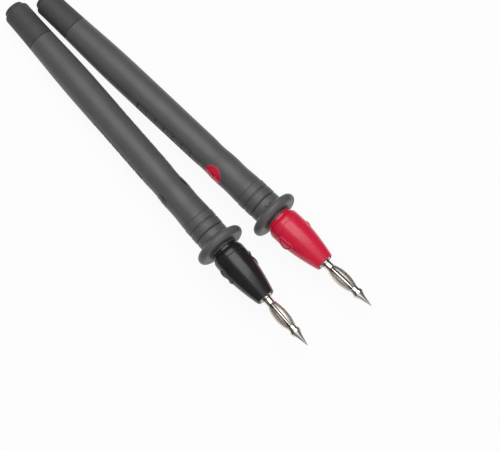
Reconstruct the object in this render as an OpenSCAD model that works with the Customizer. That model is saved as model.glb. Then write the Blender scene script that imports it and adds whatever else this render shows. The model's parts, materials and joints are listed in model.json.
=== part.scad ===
// A red and a black multimeter test-lead probe, lying side by side.
//
// Each probe is modelled along its own +Z axis: z = 0 is the needle point and z grows towards
// the lead. probe_at() then lays it down. The finger guard and the rear of the handle touch the
// surface, the tips point along +X and the red probe lies on the +Y side.
//
// Turning the finger guard drives two pegs along helical grooves in the shroud's tube, which keys
// stop from turning, so the shroud slides over the lantern tip or back.

/* [Pair] */
// Angle between the two probes
splay = 5.3; // [3:0.1:7]
// Least gap between the two probes
pair_gap = 0.7; // [0.5:0.1:6]
// How far the red needle point lies ahead of the black one
red_lead = 4; // [0:0.2:8]
// Roll of the red probe, which turns its windows to the side
red_roll = -71; // [-180:1:180]
// Roll of the black probe
black_roll = -94; // [-180:1:180]

/* [Needle and pin] */
// Metal that stands out of the nose with the shroud drawn back
tip_exposed = 19; // [18.8:0.1:21]
// Metal that stands out with the shroud pushed forward
tip_covered = 4; // [3:0.1:6]
// Length of the needle cone
needle_length = 3.3; // [2.6:0.1:3.6]
// Radius of the needle at its base
needle_r = 0.825; // [0.6:0.025:0.95]
// Length of the flare from the needle to the pin's head
flare_length = 1.85; // [1.4:0.05:2]
// Radius of the pin's head
head_r = 1.72; // [1.5:0.02:2]
// Length of the pin's head
head_length = 0.85; // [0.6:0.05:1]
// Radius of the pin inside the lantern spring
pin_r = 0.85; // [0.7:0.05:0.95]
// Radius of the pin's shoulder behind the spring
shoulder_r = 1.6; // [1.45:0.05:1.8]
// Length of the pin's shoulder
shoulder_length = 4.9; // [4.5:0.1:5.1]
// Depth of the socket for the rod's stud
stud_depth = 3.5; // [2.5:0.1:4]
// Radius of the rod's stud
stud_r = 0.8; // [0.6:0.05:0.85]

/* [Lantern spring] */
// Outer radius of the leaves at the middle of the bow
lantern_r = 2.38; // [2.2:0.02:2.45]
// Outer radius of the two end rings
ring_r = 1.4; // [1.3:0.05:1.5]
// Length of the front ring
front_ring = 1.35; // [1:0.05:1.6]
// Length of the bowed leaves
bow_length = 9; // [8:0.1:9.4]
// Length of the rear ring
rear_ring = 2.05; // [1.6:0.05:2.2]
// Width of each of the four leaves
leaf_w = 1.85; // [1.5:0.05:1.9]
// Thickness of the sheet that the leaves are cut from
leaf_t = 0.25; // [0.2:0.01:0.3]
// Width of a slot where it starts at a ring
slot_w = 0.28; // [0.2:0.02:0.4]
// How far the red and the black spring are turned on their pins
lantern_turn = [11, 28];

/* [Nose shroud] */
// Length of the tapered nose, up to its neck
nose_length = 18.2; // [17:0.2:20]
// Radius of the nose at its front face
nose_tip_r = 2.95; // [2.85:0.05:3.2]
// Largest radius of the nose
nose_r = 5.15; // [5:0.05:5.6]
// Length over which the nose tapers
taper_length = 14; // [12:0.2:14.4]
// Power of the taper: 1 is a plain cone, 2 a parabola
taper_power = 1.65; // [1.2:0.05:2]
// Radius of the neck behind the nose
neck_r = 4.38; // [4.2:0.02:4.4]
// Length of the shoulder curve between nose and neck
nose_shoulder = 1.5; // [1:0.1:2]
// Depth of the fine line round the nose, in front of that shoulder
nose_line = 0.12; // [0.05:0.01:0.2]
// Radius of the tube that slides in the handle
tube_r = 3.3; // [3.2:0.02:3.34]
// Gap between the lantern spring and the shroud's front bore
lantern_gap = 0.12; // [0.1:0.01:0.2]
// Length of the raised triangle on each side of the nose
mark_length = 4.9; // [3.5:0.1:5.5]
// Width of the raised triangle
mark_width = 4; // [3:0.1:4.5]
// Height of the raised triangle
mark_height = 0.3; // [0.2:0.05:0.4]
// Width of the ridge that draws the triangle
mark_ridge = 0.5; // [0.3:0.05:0.7]

/* [Twist collar] */
// Radius of the finger guard
guard_r = 8; // [7.5:0.1:9]
// Half thickness of the finger guard where it meets the collar
guard_half = 1.4; // [1:0.05:1.6]
// Radius of the collar
collar_r = 5; // [4.9:0.02:5.2]
// Length of the collar that shows
collar_length = 6.45; // [6:0.05:8]
// Radius of the collar's front lip
lip_r = 4.68; // [4.64:0.02:4.8]
// Outer radius of the collar's sleeve inside the handle
sleeve_r = 4; // [3.95:0.01:4.04]
// Length of that sleeve
sleeve_length = 8.8; // [8.6:0.1:9]
// Radius of the two drive pegs
peg_r = 0.55; // [0.4:0.05:0.6]
// Depth of the helical grooves in the shroud's tube
groove_depth = 0.4; // [0.3:0.02:0.42]
// Turn of the collar that moves the shroud all the way
twist = 180; // [150:5:200]

/* [Handle] */
// Length of the handle behind the twist collar
handle_length = 94; // [90:1:120]
// Radius of the handle at its rear end
rear_r = 4.15; // [4.1:0.05:4.6]
// Crest radius of the two grip rings behind the collar
ring_crest_r = 5.08; // [5:0.02:5.3]
// Depth of the grooves beside the grip rings
ring_groove = 0.24; // [0.15:0.01:0.26]
// Distance between the grooves
ring_pitch = 2.8; // [2.4:0.1:3]
// Radius of the round windows
window_r = 3.2; // [2.6:0.1:3.2]
// Distance of the windows from the handle's front end
window_place = 16.8; // [16:0.1:18]
// How far the core's windows lie below the grip's surface
window_depth = 0.05; // [0:0.01:0.2]
// Number of pads in the sunk panel on each side of the grip
side_pads = 6; // [3:1:9]
// Length of each side pad along the handle
side_pad_length = 3.3; // [2:0.1:4.5]
// Gap between two side pads, and between the pads and the edge of their panel
side_pad_gap = 0.5; // [0.4:0.1:1]
// Angle that a side pad covers round the handle
side_pad_arc = 28; // [16:1:60]
// Depth of the sunk panels
panel_depth = 0.2; // [0.1:0.02:0.3]
// Outer radius of the core behind its front bearing
core_r = 4.1; // [4.05:0.01:4.15]
// Outer radius of the core at its rear end
core_rear_r = 3.65; // [3.5:0.05:3.7]
// Outer radius of the core's front bearing
bearing_r = 4.55; // [4.5:0.01:4.6]

/* [Inside] */
// Radius of the brass probe rod
rod_r = 1; // [0.9:0.05:1.2]
// Outer radius of the guide tube
guide_r = 2.2; // [2.1:0.02:2.24]
// Height of the two keys on the guide tube
key_height = 0.3; // [0.2:0.02:0.3]
// Width of the keys
key_w = 1; // [0.8:0.05:1.2]
// Length of the keys
key_length = 5.6; // [4:0.1:6]
// Radius of the crimp sleeve on the rod's rear end
crimp_r = 1.7; // [1.5:0.05:2.2]
// Length of the crimp sleeve
crimp_length = 14; // [10:1:18]
// Bore radius of the inlet gland, for a 4 mm lead
lead_bore_r = 2.1; // [1.8:0.05:2.4]
// Length of the gland's boot, which closes the handle's rear end
boot_length = 13; // [11:1:16]
// Length of the gland's plug inside the core
plug_length = 8; // [5:1:12]

/* [Fits] */
// Radial clearance of everything that turns or slides
running_fit = 0.06; // [0.04:0.01:0.08]
// Radial clearance of pieces that are fixed in each other
seat_fit = 0.03; // [0.02:0.01:0.04]
// Gap between end faces that turn past each other
face_gap = 0.05; // [0.03:0.01:0.1]

/* [Hidden] */
$fn = 96;

// Colours
red = [0.80, 0.06, 0.18];
black = [0.10, 0.10, 0.10];
grip_grey = [0.33, 0.33, 0.34];
nickel = [0.80, 0.77, 0.72];
brass = [0.78, 0.62, 0.30];
steel = [0.62, 0.63, 0.65];
rubber = [0.12, 0.12, 0.13];

// Stations along the tip
needle_flat = 0.05;
z_head = needle_length + flare_length;
z_spring = z_head + head_length + face_gap;
z_bow = z_spring + front_ring;
z_rear_ring = z_bow + bow_length;
z_spring_end = z_rear_ring + rear_ring;
z_shoulder = z_spring_end + face_gap;
z_pin_end = z_shoulder + shoulder_length;

// Stations along the shroud, drawn back
travel = tip_exposed - tip_covered;
z_nose = tip_exposed;
nose_edge = 0.35;
z_neck = z_nose + nose_length;
z_nose_line = z_neck - nose_shoulder - 0.9;
neck_show = 1;
mouth_depth = 1.1;
mouth_gap = 0.2;
front_bore_r = lantern_r + lantern_gap;

// Stations along the twist collar
z_collar = z_neck + neck_show;
z_guard = z_collar + 2;
z_collar_end = z_collar + collar_length;
z_sleeve_end = z_collar_end + sleeve_length;
guard_root = 5;
guard_fillet = 0.8;
collar_bore_r = tube_r + running_fit;
z_neck_end = z_collar + mouth_depth;
z_peg = z_collar_end + 5.3;
peg_reach = tube_r - groove_depth + running_fit;
o_ring_r = 0.19;
z_o_ring = z_collar_end + 2.4;
ring_t = 0.8;
z_ring = z_collar_end + 7.3;
snap_r = 4.25;
groove_floor_r = 3.62;

// Stations along the tube of the shroud
groove_w = 2 * (peg_r + running_fit);
lead_angle = atan(travel / (twist / 360 * 2 * PI * tube_r));
z_tail = z_peg + travel + peg_r + 1.4;
guide_bore_r = guide_r + running_fit;
z_guide_bore = z_neck_end + 0.7;
z_guide = z_pin_end + face_gap * 2;

// Stations along the handle
seam = 0.35;
z_handle = z_collar_end + seam;
z_rings_end = z_handle + 2 * ring_pitch;
z_window = z_handle + window_place;
z_end = z_handle + handle_length;
gland_lip = 1.2;
z_tip_to_end = z_end + gland_lip;
edge_r = 0.25;
end_round = 0.9;
gland_r = rear_r - end_round - 0.05;
z_boot = z_end - boot_length;
z_grip_end = z_boot - face_gap;
boot_edge = 0.2;
plug_bore = 0.25;
core_inset = 0.1;
bearing_bore_r = sleeve_r + running_fit;
z_bearing_end = z_sleeve_end + 0.5;
z_snap = z_ring - face_gap;
snap_bore_r = snap_r + running_fit;
tail_bore_r = tube_r + 0.15;
z_bulkhead = z_tail + 1.6;
bulkhead = 5.5;
z_flange = z_bulkhead + bulkhead;
flange_t = 2.5;
rear_bore_r = core_rear_r - 0.75;
z_core_taper = z_flange + 10;
rod_stop = 18;
z_crimp = z_flange + rod_stop;
crimp_bore_r = rod_r - 0.1;
rod_collar_r = 1.6;
rod_collar_t = 1.5;
z_key = z_collar_end + 0.4;

// Grip outline: crests and hollows as [distance from the front end, radius]
grip_shape = [
    [2 * ring_pitch, 4.95], [11.6, 4.74], [window_place - 1, 4.87], [21, 4.6], [25, 4.76],
    [60, 4.86], [handle_length - end_round, rear_r],
];
boot_place = (z_boot - z_handle - grip_shape[5][0]) / (grip_shape[6][0] - grip_shape[5][0]);
boot_r = s_blend(grip_shape[5][1], grip_shape[6][1], boot_place);
panel_start = 25.8;
panel_length = side_pads * (side_pad_length + side_pad_gap) + side_pad_gap;
panel_floor_r = grip_shape[4][1] + 0.02 - panel_depth;
side_pad_edge = 0.15;

// How the pair lies
toe = splay / 2;
guard_rim = 0.7;
drop = guard_r - rear_r - (guard_rim - end_round);
run = z_end - end_round - z_guard;
tilt = atan2(drop, run) + asin((guard_rim - end_round) / sqrt(drop * drop + run * run));
rest_height = (guard_r - guard_rim) * cos(tilt) + guard_rim;
point_height = rest_height + z_guard * sin(tilt);
rear_half = rear_r + pair_gap / 2 + z_end * sin(toe);
guard_need = guard_r + pair_gap / 2 + z_guard * sin(toe);
point_half = max(rear_half, guard_need);
along = cos(toe) * cos(tilt);
reach = z_tip_to_end * along + gland_r * sqrt(1 - along * along);

// Lays one probe down: side is 1 for the red probe and -1 for the black one
module probe_at(side) {
    translate([reach / 2 + side * red_lead / 2, side * point_half, point_height])
        rotate([0, 0, side * toe])
            rotate([0, -90 - tilt, 0])
                rotate([0, 0, side > 0 ? red_roll : black_roll])
                    children();
}

// A quarter round from one corner to another: points [r, z], with r and z blended as an ellipse
function quarter(r0, z0, r1, z1, n) =
    [for (i = [0 : n]) [r0 + (r1 - r0) * sin(90 * i / n), z0 + (z1 - z0) * (1 - cos(90 * i / n))]];

// An S-shaped blend between two values
function s_blend(a, b, t) = a + (b - a) * (1 - cos(180 * t)) / 2;

// Points [r, z] through crests and hollows given as [distance from z0, radius]
function waves(shape, z0, n) =
    [for (i = [0 : len(shape) - 2], k = [0 : n - 1])
        [s_blend(shape[i][1], shape[i + 1][1], k / n),
         z0 + shape[i][0] + (shape[i + 1][0] - shape[i][0]) * k / n]];

// Points of one rounded grip ring between two grooves
function grip_ring(z0, z1, floor_r, crest_r, n) =
    [for (i = [0 : n]) let (t = i / n)
        [floor_r + (crest_r - floor_r) * (1 - pow(abs(2 * t - 1), 4)), z0 + (z1 - z0) * t]];

// A triangle with rounded corners, point down
function round_triangle(length, width, r, n) =
    let (corners = [[-length / 2 + r, width * 0.4 - r], [0, -width * 0.6 + r],
                    [length / 2 - r, width * 0.4 - r]],
         third = 360 / 3)
    [for (c = [0 : 2], i = [0 : n])
        let (a = 90 + third * (c + i / n)) corners[c] + r * [cos(a), sin(a)]];

// Radius of the flare that carries the needle's cone on and sweeps it out to the head
function flare_r(t) =
    let (cone_r = needle_r * (1 + flare_length * t / needle_length),
         cone_head_r = needle_r * (1 + flare_length / needle_length))
    cone_r + (head_r - cone_head_r) * t * t;

// Needle, head, slim middle and threaded shoulder of the tip, in one piece
module lantern_pin() {
    rotate_extrude()
        polygon([
            [0, 0], [needle_flat, 0],
            for (i = [0 : 6]) [flare_r(i / 6), needle_length + flare_length * i / 6],
            [head_r, z_spring - face_gap], [pin_r, z_spring - face_gap], [pin_r, z_shoulder],
            [shoulder_r, z_shoulder], [shoulder_r, z_pin_end], [stud_r + seat_fit, z_pin_end],
            [stud_r + seat_fit, z_pin_end - stud_depth], [0, z_pin_end - stud_depth],
        ]);
}

// Outer radius of the bowed leaves, from one ring to the other
function bow_r(t) = ring_r + (lantern_r - ring_r) * pow(sin(180 * t), 0.7);

// Four bowed leaves between two rings, cut from one rolled sheet
module lantern_spring(turn) {
    n = 20;
    outer = [for (i = [0 : n]) [bow_r(i / n), z_bow + bow_length * i / n]];
    inner = [for (i = [n : -1 : 0]) [bow_r(i / n) - leaf_t, z_bow + bow_length * i / n]];
    rotate([0, 0, turn]) {
        for (z = [z_spring, z_rear_ring])
            translate([0, 0, z])
                difference() {
                    cylinder(r = ring_r, h = z == z_spring ? front_ring : rear_ring);
                    translate([0, 0, -1]) cylinder(r = pin_r + running_fit, h = rear_ring + 2);
                }
        difference() {
            intersection() {
                rotate_extrude() polygon(concat(outer, inner));
                union()
                    for (a = [0, 90])
                        rotate([0, 0, a])
                            translate([-lantern_r - 1, -leaf_w / 2, z_bow])
                                cube([2 * lantern_r + 2, leaf_w, bow_length]);
            }
            for (a = [45, 135])
                rotate([0, 0, a])
                    translate([-lantern_r - 1, -slot_w / 2, z_bow + 0.05])
                        cube([2 * lantern_r + 2, slot_w, bow_length - 0.1]);
        }
    }
}

// Radius of the tapered nose, from 0 at its front face to 1 where it is widest
function taper_r(t) = nose_r - (nose_r - nose_tip_r) * pow(1 - t, taper_power);

// Outline of the nose, raised by extra
function nose_outline(extra) = concat(
    quarter(nose_tip_r - nose_edge + extra, z_nose,
        taper_r(nose_edge / taper_length) + extra, z_nose + nose_edge, 4),
    [for (i = [1 : 20]) [taper_r(i / 20) + extra, z_nose + taper_length * i / 20]],
    [for (i = [-1 : 1]) [nose_r + extra - (1 - abs(i)) * nose_line, z_nose_line + i * nose_line]],
    quarter_down(nose_r + extra, z_neck - nose_shoulder, neck_r + extra, z_neck, 8)
);

// A rounded shoulder that starts level with the axis and turns down to a smaller radius
function quarter_down(r0, z0, r1, z1, n) =
    [for (i = [0 : n]) [r1 + (r0 - r1) * cos(90 * i / n), z0 + (z1 - z0) * sin(90 * i / n)]];

// Flat shape of the ridge: a rounded triangle with a smaller one cut out
module mark_ring() {
    corner = 0.6;
    inset = 3 * mark_ridge;
    difference() {
        polygon(round_triangle(mark_length, mark_width, corner, 6));
        polygon(round_triangle(mark_length - 1.2 * inset, mark_width - inset, corner * 0.4, 6));
    }
}

// One helical groove for a drive peg, as a cutter with the peg's own run past both ends
module helical_groove() {
    width = groove_w / sin(lead_angle);
    past = peg_r + running_fit;
    turn = twist * (1 + 2 * past / travel);
    translate([0, 0, z_peg - past])
        rotate([0, 0, -twist * past / travel])
            linear_extrude(height = travel + 2 * past, twist = -turn, slices = 36, $fn = 8)
                translate([tube_r - groove_depth, -width / 2])
                    square([groove_depth + 1, width]);
}

// Tapered nose and the tube behind it, which slides on the guide tube
module nose_shroud() {
    difference() {
        union() {
            rotate_extrude()
                polygon(concat([[0, z_nose]], nose_outline(0),
                    [[neck_r, z_neck_end], [tube_r, z_neck_end], [tube_r, z_tail], [0, z_tail]]));
            intersection() {
                rotate_extrude()
                    polygon(concat([[0, z_nose]], nose_outline(mark_height), [[0, z_neck]]));
                for (a = [0, 180])
                    rotate([0, 0, a])
                        translate([0, 0, z_nose + taper_length * 0.86])
                            rotate([0, 90, 0])
                                linear_extrude(nose_r + 1)
                                    mark_ring();
            }
        }
        translate([0, 0, z_nose - 1])
            cylinder(r = front_bore_r, h = z_guide_bore - z_nose + 1);
        cylinder(r = guide_bore_r, h = z_tail + 1);
        for (a = [0, 180])
            rotate([0, 0, a]) {
                translate([0, -key_w / 2 - running_fit, z_key - 0.5])
                    cube([guide_r + key_height + running_fit, key_w + 2 * running_fit, z_tail]);
                helical_groove();
            }
    }
}

// Finger guard, collar, inner sleeve and the two drive pegs
module twist_collar() {
    guard_tip = guard_r - guard_root;
    n = 22;
    outline = concat(
        [[collar_bore_r, z_neck_end + mouth_gap], [neck_r + running_fit, z_neck_end + mouth_gap],
         [neck_r + running_fit, z_collar], [lip_r, z_collar]],
        [for (i = [2 : n - 2]) let (a = 180 * i / n - 90)
            [guard_root + guard_tip * cos(a), z_guard + guard_half * sin(a)]],
        fillet_points(),
        quarter_down(collar_r, z_collar_end - edge_r, collar_r - edge_r, z_collar_end, 4),
        [[sleeve_r, z_collar_end], [sleeve_r, z_sleeve_end], [collar_bore_r, z_sleeve_end]]
    );
    difference() {
        rotate_extrude() polygon(outline);
        seat_groove(z_o_ring - o_ring_r - face_gap, 2 * (o_ring_r + face_gap));
        seat_groove(z_ring - face_gap, ring_t + 2 * face_gap);
    }
    for (a = [0, 180])
        rotate([0, 0, a])
            intersection() {
                translate([peg_reach, 0, z_peg])
                    rotate([0, 90, 0])
                        cylinder(r = peg_r, h = collar_bore_r - peg_reach + 0.2);
                translate([0, 0, z_peg - 1]) cylinder(r = collar_bore_r + 0.2, h = 2);
            }
}

// A groove round the collar's sleeve
module seat_groove(z, width) {
    translate([0, 0, z])
        difference() {
            cylinder(r = sleeve_r + 1, h = width);
            translate([0, 0, -1]) cylinder(r = groove_floor_r, h = width + 2);
        }
}

// Curve from the back of the finger guard into the collar
function fillet_points() =
    let (z0 = z_guard + guard_half * 0.97)
    [for (i = [0 : 5]) let (a = 90 * i / 5)
        [collar_r + guard_fillet * (1 - sin(a)), z0 + guard_fillet * (1 - cos(a))]];

// Rubber ring that gives the collar its drag
module friction_ring() {
    rotate_extrude()
        translate([(groove_floor_r + bearing_bore_r) / 2, z_o_ring])
            circle(r = o_ring_r, $fn = 32);
}

// Open snap ring that holds the collar in the core
module retaining_ring() {
    difference() {
        translate([0, 0, z_ring]) cylinder(r = snap_r, h = ring_t);
        translate([0, 0, z_ring - 1]) cylinder(r = groove_floor_r + running_fit, h = ring_t + 2);
        translate([0, -0.6, z_ring - 1]) cube([snap_r + 1, 1.2, ring_t + 2]);
    }
}

// Fixed insulating tube that the shroud slides on, with its two keys and rear flange
module guide_tube() {
    difference() {
        union() {
            rotate_extrude()
                polygon([
                    [rod_r + seat_fit, z_guide], [guide_r - 0.2, z_guide],
                    [guide_r, z_guide + 0.4], [guide_r, z_flange],
                    [rear_bore_r - seat_fit, z_flange], [rear_bore_r - seat_fit, z_flange + flange_t],
                    [rod_r + seat_fit, z_flange + flange_t],
                ]);
            translate([-guide_r - key_height, -key_w / 2, z_key])
                cube([2 * (guide_r + key_height), key_w, key_length]);
        }
        translate([0, 0, z_guide - 1]) cylinder(r = rod_r + seat_fit, h = z_flange);
    }
}

// Brass rod from the screwed-on tip to the crimp
module probe_rod() {
    rotate_extrude()
        polygon([
            [0, z_pin_end - stud_depth + 0.3], [stud_r, z_pin_end - stud_depth + 0.3],
            [stud_r, z_pin_end + face_gap], [rod_r, z_pin_end + face_gap],
            [rod_r, z_flange + flange_t], [rod_collar_r, z_flange + flange_t],
            [rod_collar_r, z_flange + flange_t + rod_collar_t],
            [rod_r, z_flange + flange_t + rod_collar_t], [rod_r, z_crimp + crimp_length * 0.45],
            [0, z_crimp + crimp_length * 0.45],
        ]);
}

// Sleeve that joins the rod to the lead's conductor
module crimp_sleeve() {
    difference() {
        translate([0, 0, z_crimp]) cylinder(r = crimp_r, h = crimp_length);
        translate([0, 0, z_crimp - 1])
            cylinder(r = rod_r + seat_fit, h = crimp_length * 0.45 + 1);
        translate([0, 0, z_crimp]) cylinder(r = crimp_bore_r, h = crimp_length + 1);
    }
}

// Rubber gland that the lead goes through: a boot over the rear end and a plug in the core
module inlet_gland() {
    plug_r = rear_bore_r - seat_fit;
    difference() {
        rotate_extrude()
            polygon(concat(
                [[0, z_boot - plug_length], [plug_r, z_boot - plug_length], [plug_r, z_boot]],
                quarter(boot_r - boot_edge, z_boot, boot_r, z_boot + boot_edge, 3),
                [for (p = waves(grip_shape, z_handle, 7)) if (p[1] > z_boot + boot_edge) p],
                quarter_down(rear_r, z_end - end_round, rear_r - end_round, z_end, 6),
                [[gland_r, z_end]],
                quarter_down(gland_r, z_tip_to_end - 0.6, gland_r - 0.6, z_tip_to_end, 5),
                [[0, z_tip_to_end]]));
        translate([0, 0, z_boot]) cylinder(r = lead_bore_r, h = boot_length + gland_lip + 1);
        translate([0, 0, z_boot - plug_length - 1])
            cylinder(r = lead_bore_r + plug_bore, h = plug_length + 2);
    }
}

// Round plugs through both windows, out to the given radius
module window_plugs(r, to_r) {
    for (a = [0, 180])
        rotate([0, 0, a]) translate([0, 0, z_window]) rotate([0, 90, 0]) cylinder(r = r, h = to_r);
}

// The grip's own outline behind its rings, made smaller by the given depth
module grip_body(depth) {
    rotate_extrude()
        polygon([
            [0, z_rings_end],
            for (p = waves(grip_shape, z_handle, 7)) [p[0] - depth, p[1]],
            [0, z_end - end_round - 1],
        ]);
}

// Coloured hard core: bearing for the collar, hollow for the tube's tail, bulkhead and rear bore
module handle_core() {
    difference() {
        union() {
            translate([0, 0, z_handle + core_inset])
                cylinder(r = bearing_r, h = z_bearing_end + 0.6 - z_handle - core_inset);
            translate([0, 0, z_handle + 1]) cylinder(r = core_r, h = z_core_taper - z_handle - 1);
            translate([0, 0, z_core_taper])
                cylinder(r1 = core_r, r2 = core_rear_r, h = z_grip_end - z_core_taper);
            intersection() {
                window_plugs(window_r, ring_crest_r);
                grip_body(window_depth);
            }
        }
        cylinder(r = bearing_bore_r, h = z_bearing_end);
        translate([0, 0, z_snap]) cylinder(r = snap_bore_r, h = ring_t + 2 * face_gap);
        cylinder(r = tail_bore_r, h = z_bulkhead);
        cylinder(r = guide_r + seat_fit, h = z_end);
        translate([0, 0, z_flange]) cylinder(r = rear_bore_r, h = z_end - z_flange);
    }
}

// Soft grip moulded over the core, with its rings, windows and sunk side panels with pads
module handle_grip() {
    floor_r = ring_crest_r - ring_groove;
    outline = concat(
        [[bearing_r + seat_fit, z_handle]],
        quarter(floor_r - 0.1, z_handle, floor_r, z_handle + 0.1, 3),
        grip_ring(z_handle + 0.15, z_handle + ring_pitch, floor_r, ring_crest_r, 10),
        grip_ring(z_handle + ring_pitch + 0.05, z_rings_end, floor_r, ring_crest_r, 10),
        [for (p = waves(grip_shape, z_handle + 0.2, 7)) if (p[1] < z_grip_end - 1) p],
        quarter_down(boot_r, z_grip_end - boot_edge, boot_r - boot_edge, z_grip_end, 3),
        [[core_rear_r + seat_fit, z_grip_end], [core_r + seat_fit, z_core_taper],
         [core_r + seat_fit, z_bearing_end + 0.6 + seat_fit],
         [bearing_r + seat_fit, z_bearing_end + 0.6 + seat_fit]]
    );
    difference() {
        rotate_extrude() polygon(outline);
        window_plugs(window_r + seat_fit, ring_crest_r + 1);
        for (a = [0, 180]) side_panel(a);
    }
    for (a = [0, 180], i = [0 : side_pads - 1])
        side_pad(a, z_handle + panel_start + side_pad_gap + i * (side_pad_length + side_pad_gap));
}

// Cutter for the sunk panel on one side of the grip
module side_panel(a) {
    margin = side_pad_gap / panel_floor_r * 180 / PI;
    arc = side_pad_arc + 2 * margin;
    rotate([0, 0, a - arc / 2])
        rotate_extrude(angle = arc)
            translate([panel_floor_r, z_handle + panel_start]) square([1, panel_length]);
}

// One pad that rises from the panel's floor to the grip's surface, rounded at front and rear
module side_pad(a, z) {
    crest = panel_floor_r + panel_depth;
    root = core_r + 2 * seat_fit;
    z_rear = z + side_pad_length;
    rotate([0, 0, a - side_pad_arc / 2])
        rotate_extrude(angle = side_pad_arc)
            polygon(concat([[root, z]],
                quarter(crest - side_pad_edge, z, crest, z + side_pad_edge, 3),
                quarter_down(crest, z_rear - side_pad_edge, crest - side_pad_edge, z_rear, 3),
                [[root, z_rear]]));
}

module red_handle_core() color(red) probe_at(1) handle_core();
module red_handle_grip() color(grip_grey) probe_at(1) handle_grip();
module red_guide_tube() color("ivory") probe_at(1) guide_tube();
module red_probe_rod() color(brass) probe_at(1) probe_rod();
module red_crimp_sleeve() color(brass) probe_at(1) crimp_sleeve();
module red_inlet_gland() color(rubber) probe_at(1) inlet_gland();
module red_twist_collar() color(grip_grey) probe_at(1) twist_collar();
module red_friction_ring() color(rubber) probe_at(1) friction_ring();
module red_retaining_ring() color(steel) probe_at(1) retaining_ring();
module red_nose_shroud() color(red) probe_at(1) nose_shroud();
module red_lantern_pin() color(nickel) probe_at(1) lantern_pin();
module red_lantern_spring() color(nickel) probe_at(1) lantern_spring(lantern_turn[0]);
module black_handle_core() color(black) probe_at(-1) handle_core();
module black_handle_grip() color(grip_grey) probe_at(-1) handle_grip();
module black_guide_tube() color("ivory") probe_at(-1) guide_tube();
module black_probe_rod() color(brass) probe_at(-1) probe_rod();
module black_crimp_sleeve() color(brass) probe_at(-1) crimp_sleeve();
module black_inlet_gland() color(rubber) probe_at(-1) inlet_gland();
module black_twist_collar() color(grip_grey) probe_at(-1) twist_collar();
module black_friction_ring() color(rubber) probe_at(-1) friction_ring();
module black_retaining_ring() color(steel) probe_at(-1) retaining_ring();
module black_nose_shroud() color(black) probe_at(-1) nose_shroud();
module black_lantern_pin() color(nickel) probe_at(-1) lantern_pin();
module black_lantern_spring() color(nickel) probe_at(-1) lantern_spring(lantern_turn[1]);

red_handle_core();
red_handle_grip();
red_guide_tube();
red_probe_rod();
red_crimp_sleeve();
red_inlet_gland();
red_twist_collar();
red_friction_ring();
red_retaining_ring();
red_nose_shroud();
red_lantern_pin();
red_lantern_spring();
black_handle_core();
black_handle_grip();
black_guide_tube();
black_probe_rod();
black_crimp_sleeve();
black_inlet_gland();
black_twist_collar();
black_friction_ring();
black_retaining_ring();
black_nose_shroud();
black_lantern_pin();
black_lantern_spring();
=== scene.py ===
"""Looks for a red and a black test-lead probe with lantern tips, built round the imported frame.

Each probe is drawn in its own coordinates, in millimetres: z = 0 is the needle point, z grows
towards the lead, and turned pieces go round z. A probe's place then moves every piece into the
frame, in metres.
"""

import json
import logging
import math
from dataclasses import dataclass, field
from enum import Enum
from typing import Callable, Iterable, Sequence

import bmesh
import bpy
from mathutils import Matrix, Vector


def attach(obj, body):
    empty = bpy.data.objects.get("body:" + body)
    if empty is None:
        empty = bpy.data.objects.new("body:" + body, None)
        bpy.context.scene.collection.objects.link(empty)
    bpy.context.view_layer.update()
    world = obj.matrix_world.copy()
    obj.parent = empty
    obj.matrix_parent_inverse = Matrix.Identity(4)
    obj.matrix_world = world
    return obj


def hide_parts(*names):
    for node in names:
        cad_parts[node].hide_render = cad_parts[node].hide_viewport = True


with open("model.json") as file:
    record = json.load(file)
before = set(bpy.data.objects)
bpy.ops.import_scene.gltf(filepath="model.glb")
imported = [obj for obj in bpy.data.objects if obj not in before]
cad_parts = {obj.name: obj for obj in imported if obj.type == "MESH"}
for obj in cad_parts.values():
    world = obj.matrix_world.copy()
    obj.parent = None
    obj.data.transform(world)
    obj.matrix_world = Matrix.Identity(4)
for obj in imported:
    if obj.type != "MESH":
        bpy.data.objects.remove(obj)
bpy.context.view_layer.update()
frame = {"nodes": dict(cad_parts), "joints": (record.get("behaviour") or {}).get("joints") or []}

LOG = logging.getLogger("probes")
MM = 0.001
ON_AXIS = 1e-6      # nearer to the axis than this is on it
EDGE_SHARE = 0.46   # the most of an edge that one corner's rounding takes
WHITE = (1, 1, 1, 1)

Point = tuple[float, float]
Spot = tuple[float, float, float]
Rgba = tuple[float, float, float, float]
Swell = Callable[[float, float, float], float]


class ProbeColour(Enum):
    """The two probes of the pair."""

    RED = "red"
    BLACK = "black"


class Body(Enum):
    """What a piece moves with."""

    HANDLES = "handles"
    COLLAR = "{colour}_collar"
    SHROUD = "{colour}_shroud"
    SPRING = "{colour}_spring"

    def of(self, colour: ProbeColour) -> str:
        """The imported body's name for one probe."""
        return self.value.format(colour=colour.value)


# --- turned outlines and shells -------------------------------------------------------------


@dataclass(frozen=True)
class Corner:
    """A corner of a turned outline.

    Attributes:
        r: distance from the axis, in millimetres.
        z: station along the axis, in millimetres.
        fillet: radius of the corner's rounding, 0 for a point of a curve.
    """

    r: float
    z: float
    fillet: float = 0.0


def softened(corners: Sequence[Corner], steps: int = 4) -> list[Point]:
    """Rounds the corners of a closed outline.

    Args:
        corners: the outline's corners, in order.
        steps: pieces in each rounded corner.

    Returns:
        The outline's points as (r, z).
    """
    points: list[Point] = []
    count = len(corners)
    for i, corner in enumerate(corners):
        here = Vector((corner.r, corner.z))
        if corner.fillet <= 0:
            points.append((corner.r, corner.z))
            continue
        before, after = corners[i - 1], corners[(i + 1) % count]
        back = Vector((before.r, before.z)) - here
        ahead = Vector((after.r, after.z)) - here
        half = back.angle(ahead) / 2
        reach = min(corner.fillet / math.tan(half),
                    EDGE_SHARE * back.length, EDGE_SHARE * ahead.length)
        start, end = here + back.normalized() * reach, here + ahead.normalized() * reach
        for k in range(steps + 1):
            t = k / steps
            p = start * (1 - t) ** 2 + here * 2 * t * (1 - t) + end * t ** 2
            points.append((p.x, p.y))
    return points


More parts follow.
